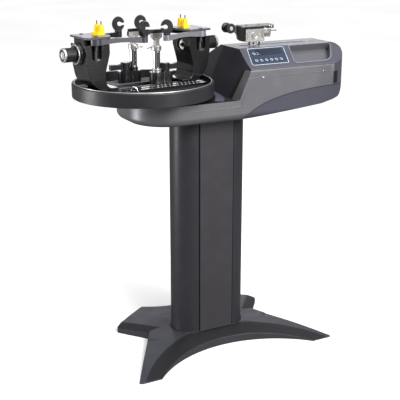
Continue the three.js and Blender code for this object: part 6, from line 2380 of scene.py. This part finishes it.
def head_plate():
    low = GRIPPER_Z[1] + GAP
    high = low + HEAD_PLATE_THICK
    front = ROLLER_LENGTH / 2 + GAP
    back = front + WEB_THICK
    plate = prism(oblong(SIDE_PLATE_LEFT, HEAD_PLATE_RIGHT, -GRIPPER_HALF, back, FINE), low, high)
    fit(eased(plate, EVEN_EDGE), "head_plate_top", "cast", "carriage", "cast_alloy", "head_plate")
    web = prism(rounded([
        (GRIPPER_X[0], high),
        (ROLLER_X - ROLLER_EYE, high, ROLLER_EYE),
        (ROLLER_X - ROLLER_EYE, ROLLER_HEIGHT - ROLLER_EYE, ROLLER_EYE),
        (ROLLER_X + ROLLER_EYE, ROLLER_HEIGHT - ROLLER_EYE, ROLLER_EYE),
        (SIDE_PLATE_LEFT, (ROLLER_HEIGHT + WEB_FOOT) / 2, ROLLER_RADIUS),
        (SIDE_PLATE_LEFT + GRIPPER_FRAME, WEB_FOOT),
        (GRIPPER_X[0], WEB_FOOT),
    ]), front, back, "y")
    fit(eased(web, SOFT_EDGE), "head_plate_web", "cast", "carriage", "cast_alloy")
    right = HEAD_PLATE_RIGHT
    lug = box(right - HEAD_LUG[0], right, -GRIPPER_HALF, back, low - HEAD_LUG[1], low + FINE)
    fit(eased(lug, MILLED_EDGE), "head_plate_lug", "cast", "carriage", "cast_alloy")
    axle = lathe([
        (0, -ROLLER_LENGTH / 2 - SPOOL_CAP[1]),
        (SPOOL_CAP[0], -ROLLER_LENGTH / 2 - SPOOL_CAP[1], PLAIN_EDGE),
        (SPOOL_CAP[0], -ROLLER_LENGTH / 2 - GAP),
        (ROLLER_AXLE, -ROLLER_LENGTH / 2 - GAP),
        (ROLLER_AXLE, back),
        (0, back),
    ], ROLLER_X, ROLLER_HEIGHT, "y", AXLE_SIDES)
    fit(shaded(axle), "roller_axle", "silver", "carriage", "cast_alloy")
    places = [right - HEAD_LUG[0] * share for share in BOLT_SHARES]
    spots = [(x, -GRIPPER_HALF, low - HEAD_LUG[1] / 4) for x in places]
    fit(screws(spots, FACING_FRONT, *HEAD_BOLT), "head_plate_bolts", "chrome", "carriage", "cast_alloy")
    places = (GRIPPER_X[0] + PLATE_SCREW_INSET, GRIPPER_X[1] - PLATE_SCREW_INSET)
    spots = [(x, GRIPPER_HALF / 3, high) for x in places]
    top_screws = screws(spots, FACING_UP, *HEAD_BOLT, "lever")
    fit(top_screws, "head_plate_top_screws", "lever", "carriage", "cast_alloy")


def roller():
    half = ROLLER_LENGTH / 2
    wide = ROLLER_FLANGE
    spool = lathe([
        (ROLLER_AXLE + GAP, -half),
        (SPOOL_CAP[0] + FINE, -half),
        (SPOOL_CAP[0] + 2 * FINE, FINE / 2 - half),
        (ROLLER_RADIUS, FINE / 2 - half, FINE),
        (ROLLER_RADIUS, wide - half, FINE),
        (ROLLER_CORE, wide - half + FINE, FINE),
        (ROLLER_CORE, half - wide - FINE, FINE),
        (ROLLER_RADIUS, half - wide, FINE),
        (ROLLER_RADIUS, half, FINE),
        (ROLLER_AXLE + GAP, half),
    ], ROLLER_X, ROLLER_HEIGHT, "y", DISC_SIDES)
    fit(shaded(spool), "roller_spool", "knob", "roller", "roller_black", "guide_roller")


def jaw():
    left = JAW_LEFT
    right = left + JAW_WIDTH
    x, z = JAW_PIVOT
    wedge = prism(rounded([
        (left, JAW_TOP, FINE),
        (right, JAW_TOP, FINE),
        (right - GRIPPER_FRAME, JAW_TOP - JAW_DROP, FINE),
        (left + GRIPPER_FRAME, JAW_TOP - JAW_DROP, FINE),
    ]), -JAW_HALF, JAW_HALF, "y")
    tools = [bar(x, z, JAW_PIN_RADIUS + GAP, -GRIPPER_HALF, GRIPPER_HALF, "y", HOLE_SIDES)]
    pitch = (JAW_WIDTH - 3 * GRIPPER_FRAME) / JAW_GROOVES
    for k in range(JAW_GROOVES):
        middle = left + 2 * GRIPPER_FRAME + (k + 0.5) * pitch
        ends = [JAW_TOP - JAW_DROP + height for height in JAW_RIB_SPAN]
        outline = oblong(middle - JAW_RIB_HALF, middle + JAW_RIB_HALF, *ends)
        tools.append(prism(outline, -JAW_HALF - OVERRUN, JAW_RIB_DEPTH - JAW_HALF, "y"))
    body = eased(cut(wedge, *tools), SHARP_EDGE)
    fit(body, "jaw_wedge", "cast", "jaw", "cast_alloy", "jaw_lever")
    height = JAW_TOP - 2 * JAW_TAIL[1]
    start = right - GRIPPER_FRAME
    end = right + JAW_TAIL[0]
    tail = lathe([
        (0, start),
        (JAW_TAIL[1] * JAW_TAIL_SHARE, start),
        (JAW_TAIL[1] * JAW_TAIL_SHARE, end - 4 * FINE),
        (JAW_TAIL[1], end - 4 * FINE, SHARP_EDGE),
        (JAW_TAIL[1], end, MILLED_EDGE),
        (0, end),
    ], 0, height, "x", BORE_SIDES)
    fit(shaded(tail), "jaw_tail", "wire", "jaw", "cast_alloy")
    cap = box(left + FINE, right - GAP, GAP - JAW_HALF, JAW_HALF - GAP, JAW_TOP, JAW_TOP + JAW_CAP_THICK)
    fit(eased(cap, HAIR_EDGE), "jaw_cap", "lever", "jaw", "cast_alloy")


# Nodes inside the body keep their shape and take a finish
def inner_works():
    inside = {
        "chassis": "cast",
        "turntable_spindle": "chrome",
        "drive_motor": "gloss",
        "drive_pulley": "silver",
        "idler_pulley": "silver",
        "drive_belt": "rubber",
    }
    for node, finish in inside.items():
        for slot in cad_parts[node].material_slots:
            slot.material = finishes[finish]


# Floor, camera and soft studio light
def floor_material():
    paint = Paint("studio floor")
    cloud = paint.eased(paint.noise(*FLOOR_CLOUD), *FLOOR_BAND)
    tones = [scaled((1, 1, 1), share) for share in FLOOR_SHARES]
    return paint.shade(
        Base_Color=paint.mixed(cloud, *tones),
        Roughness=paint.eased(cloud, 0, 1, *FLOOR_ROUGH),
        Normal=paint.bumped(paint.noise(*FLOOR_GRAIN), FLOOR_BUMP, FLOOR_DEPTH * MM),
    )


def studio_floor():
    half = FLOOR_SIZE / 2
    data = bpy.data.meshes.new("studio_floor")
    corners = [(-half, -half, 0), (half, -half, 0), (half, half, 0), (-half, half, 0)]
    data.from_pydata(corners, [], [(0, 1, 2, 3)])
    ground = shown("studio_floor", data)
    ground.data.materials.append(floor_material())
    ground.visible_diffuse = False
    ground.visible_glossy = False


def photograph_camera():
    camera_data = bpy.data.cameras.new("photograph camera")
    camera_data.lens = CAMERA_LENS
    camera_data.sensor_width = CAMERA_SENSOR
    camera_data.clip_end = FLOOR_SIZE
    camera = shown("photograph camera", camera_data)
    camera.location = [value * MM for value in CAMERA_PLACE]
    level = math.cos(CAMERA_PITCH)
    facing = Vector((math.sin(CAMERA_YAW) * level, math.cos(CAMERA_YAW) * level, -math.sin(CAMERA_PITCH)))
    camera.rotation_euler = facing.to_track_quat("-Z", "Y").to_euler()
    bpy.context.scene.camera = camera


def studio_light(name, place, target, size, power):
    data = bpy.data.lights.new(name, "AREA")
    data.shape = "RECTANGLE"
    data.size, data.size_y = size
    data.energy = power
    lamp = shown(name, data)
    lamp.location = place
    lamp.rotation_euler = (Vector(target) - Vector(place)).to_track_quat("-Z", "Y").to_euler()


def daylight():
    strength, angle, way = DAYLIGHT
    data = bpy.data.lights.new("daylight", "SUN")
    data.energy = strength
    data.angle = angle
    lamp = shown("daylight", data)
    lamp.rotation_euler = Vector(way).to_track_quat("Z", "Y").to_euler()


def studio():
    daylight()
    for name, values in STUDIO_LIGHTS.items():
        studio_light(name, *values)
    world = bpy.data.worlds.new("studio")
    world.use_nodes = True
    sky = world.node_tree.nodes["Background"]
    sky.inputs["Color"].default_value = (1, 1, 1, 1)
    sky.inputs["Strength"].default_value = WORLD_STRENGTH
    bpy.context.scene.world = world
    bpy.context.scene.view_settings.view_transform = "Standard"


star_base()
column()
body_shells()
control_panel()
panel_keys()
tool_tray()
slot_trim()
side_line()
end_strip()
shell_seams()
deck_moulding()
back_fittings()
turntable_pan()
turntable_deck()
slotted_rack()
pan_fittings()
towers()
clamps()
carriage()
gripper()
side_plate()
head_plate()
roller()
jaw()
inner_works()
studio_floor()
photograph_camera()
studio()
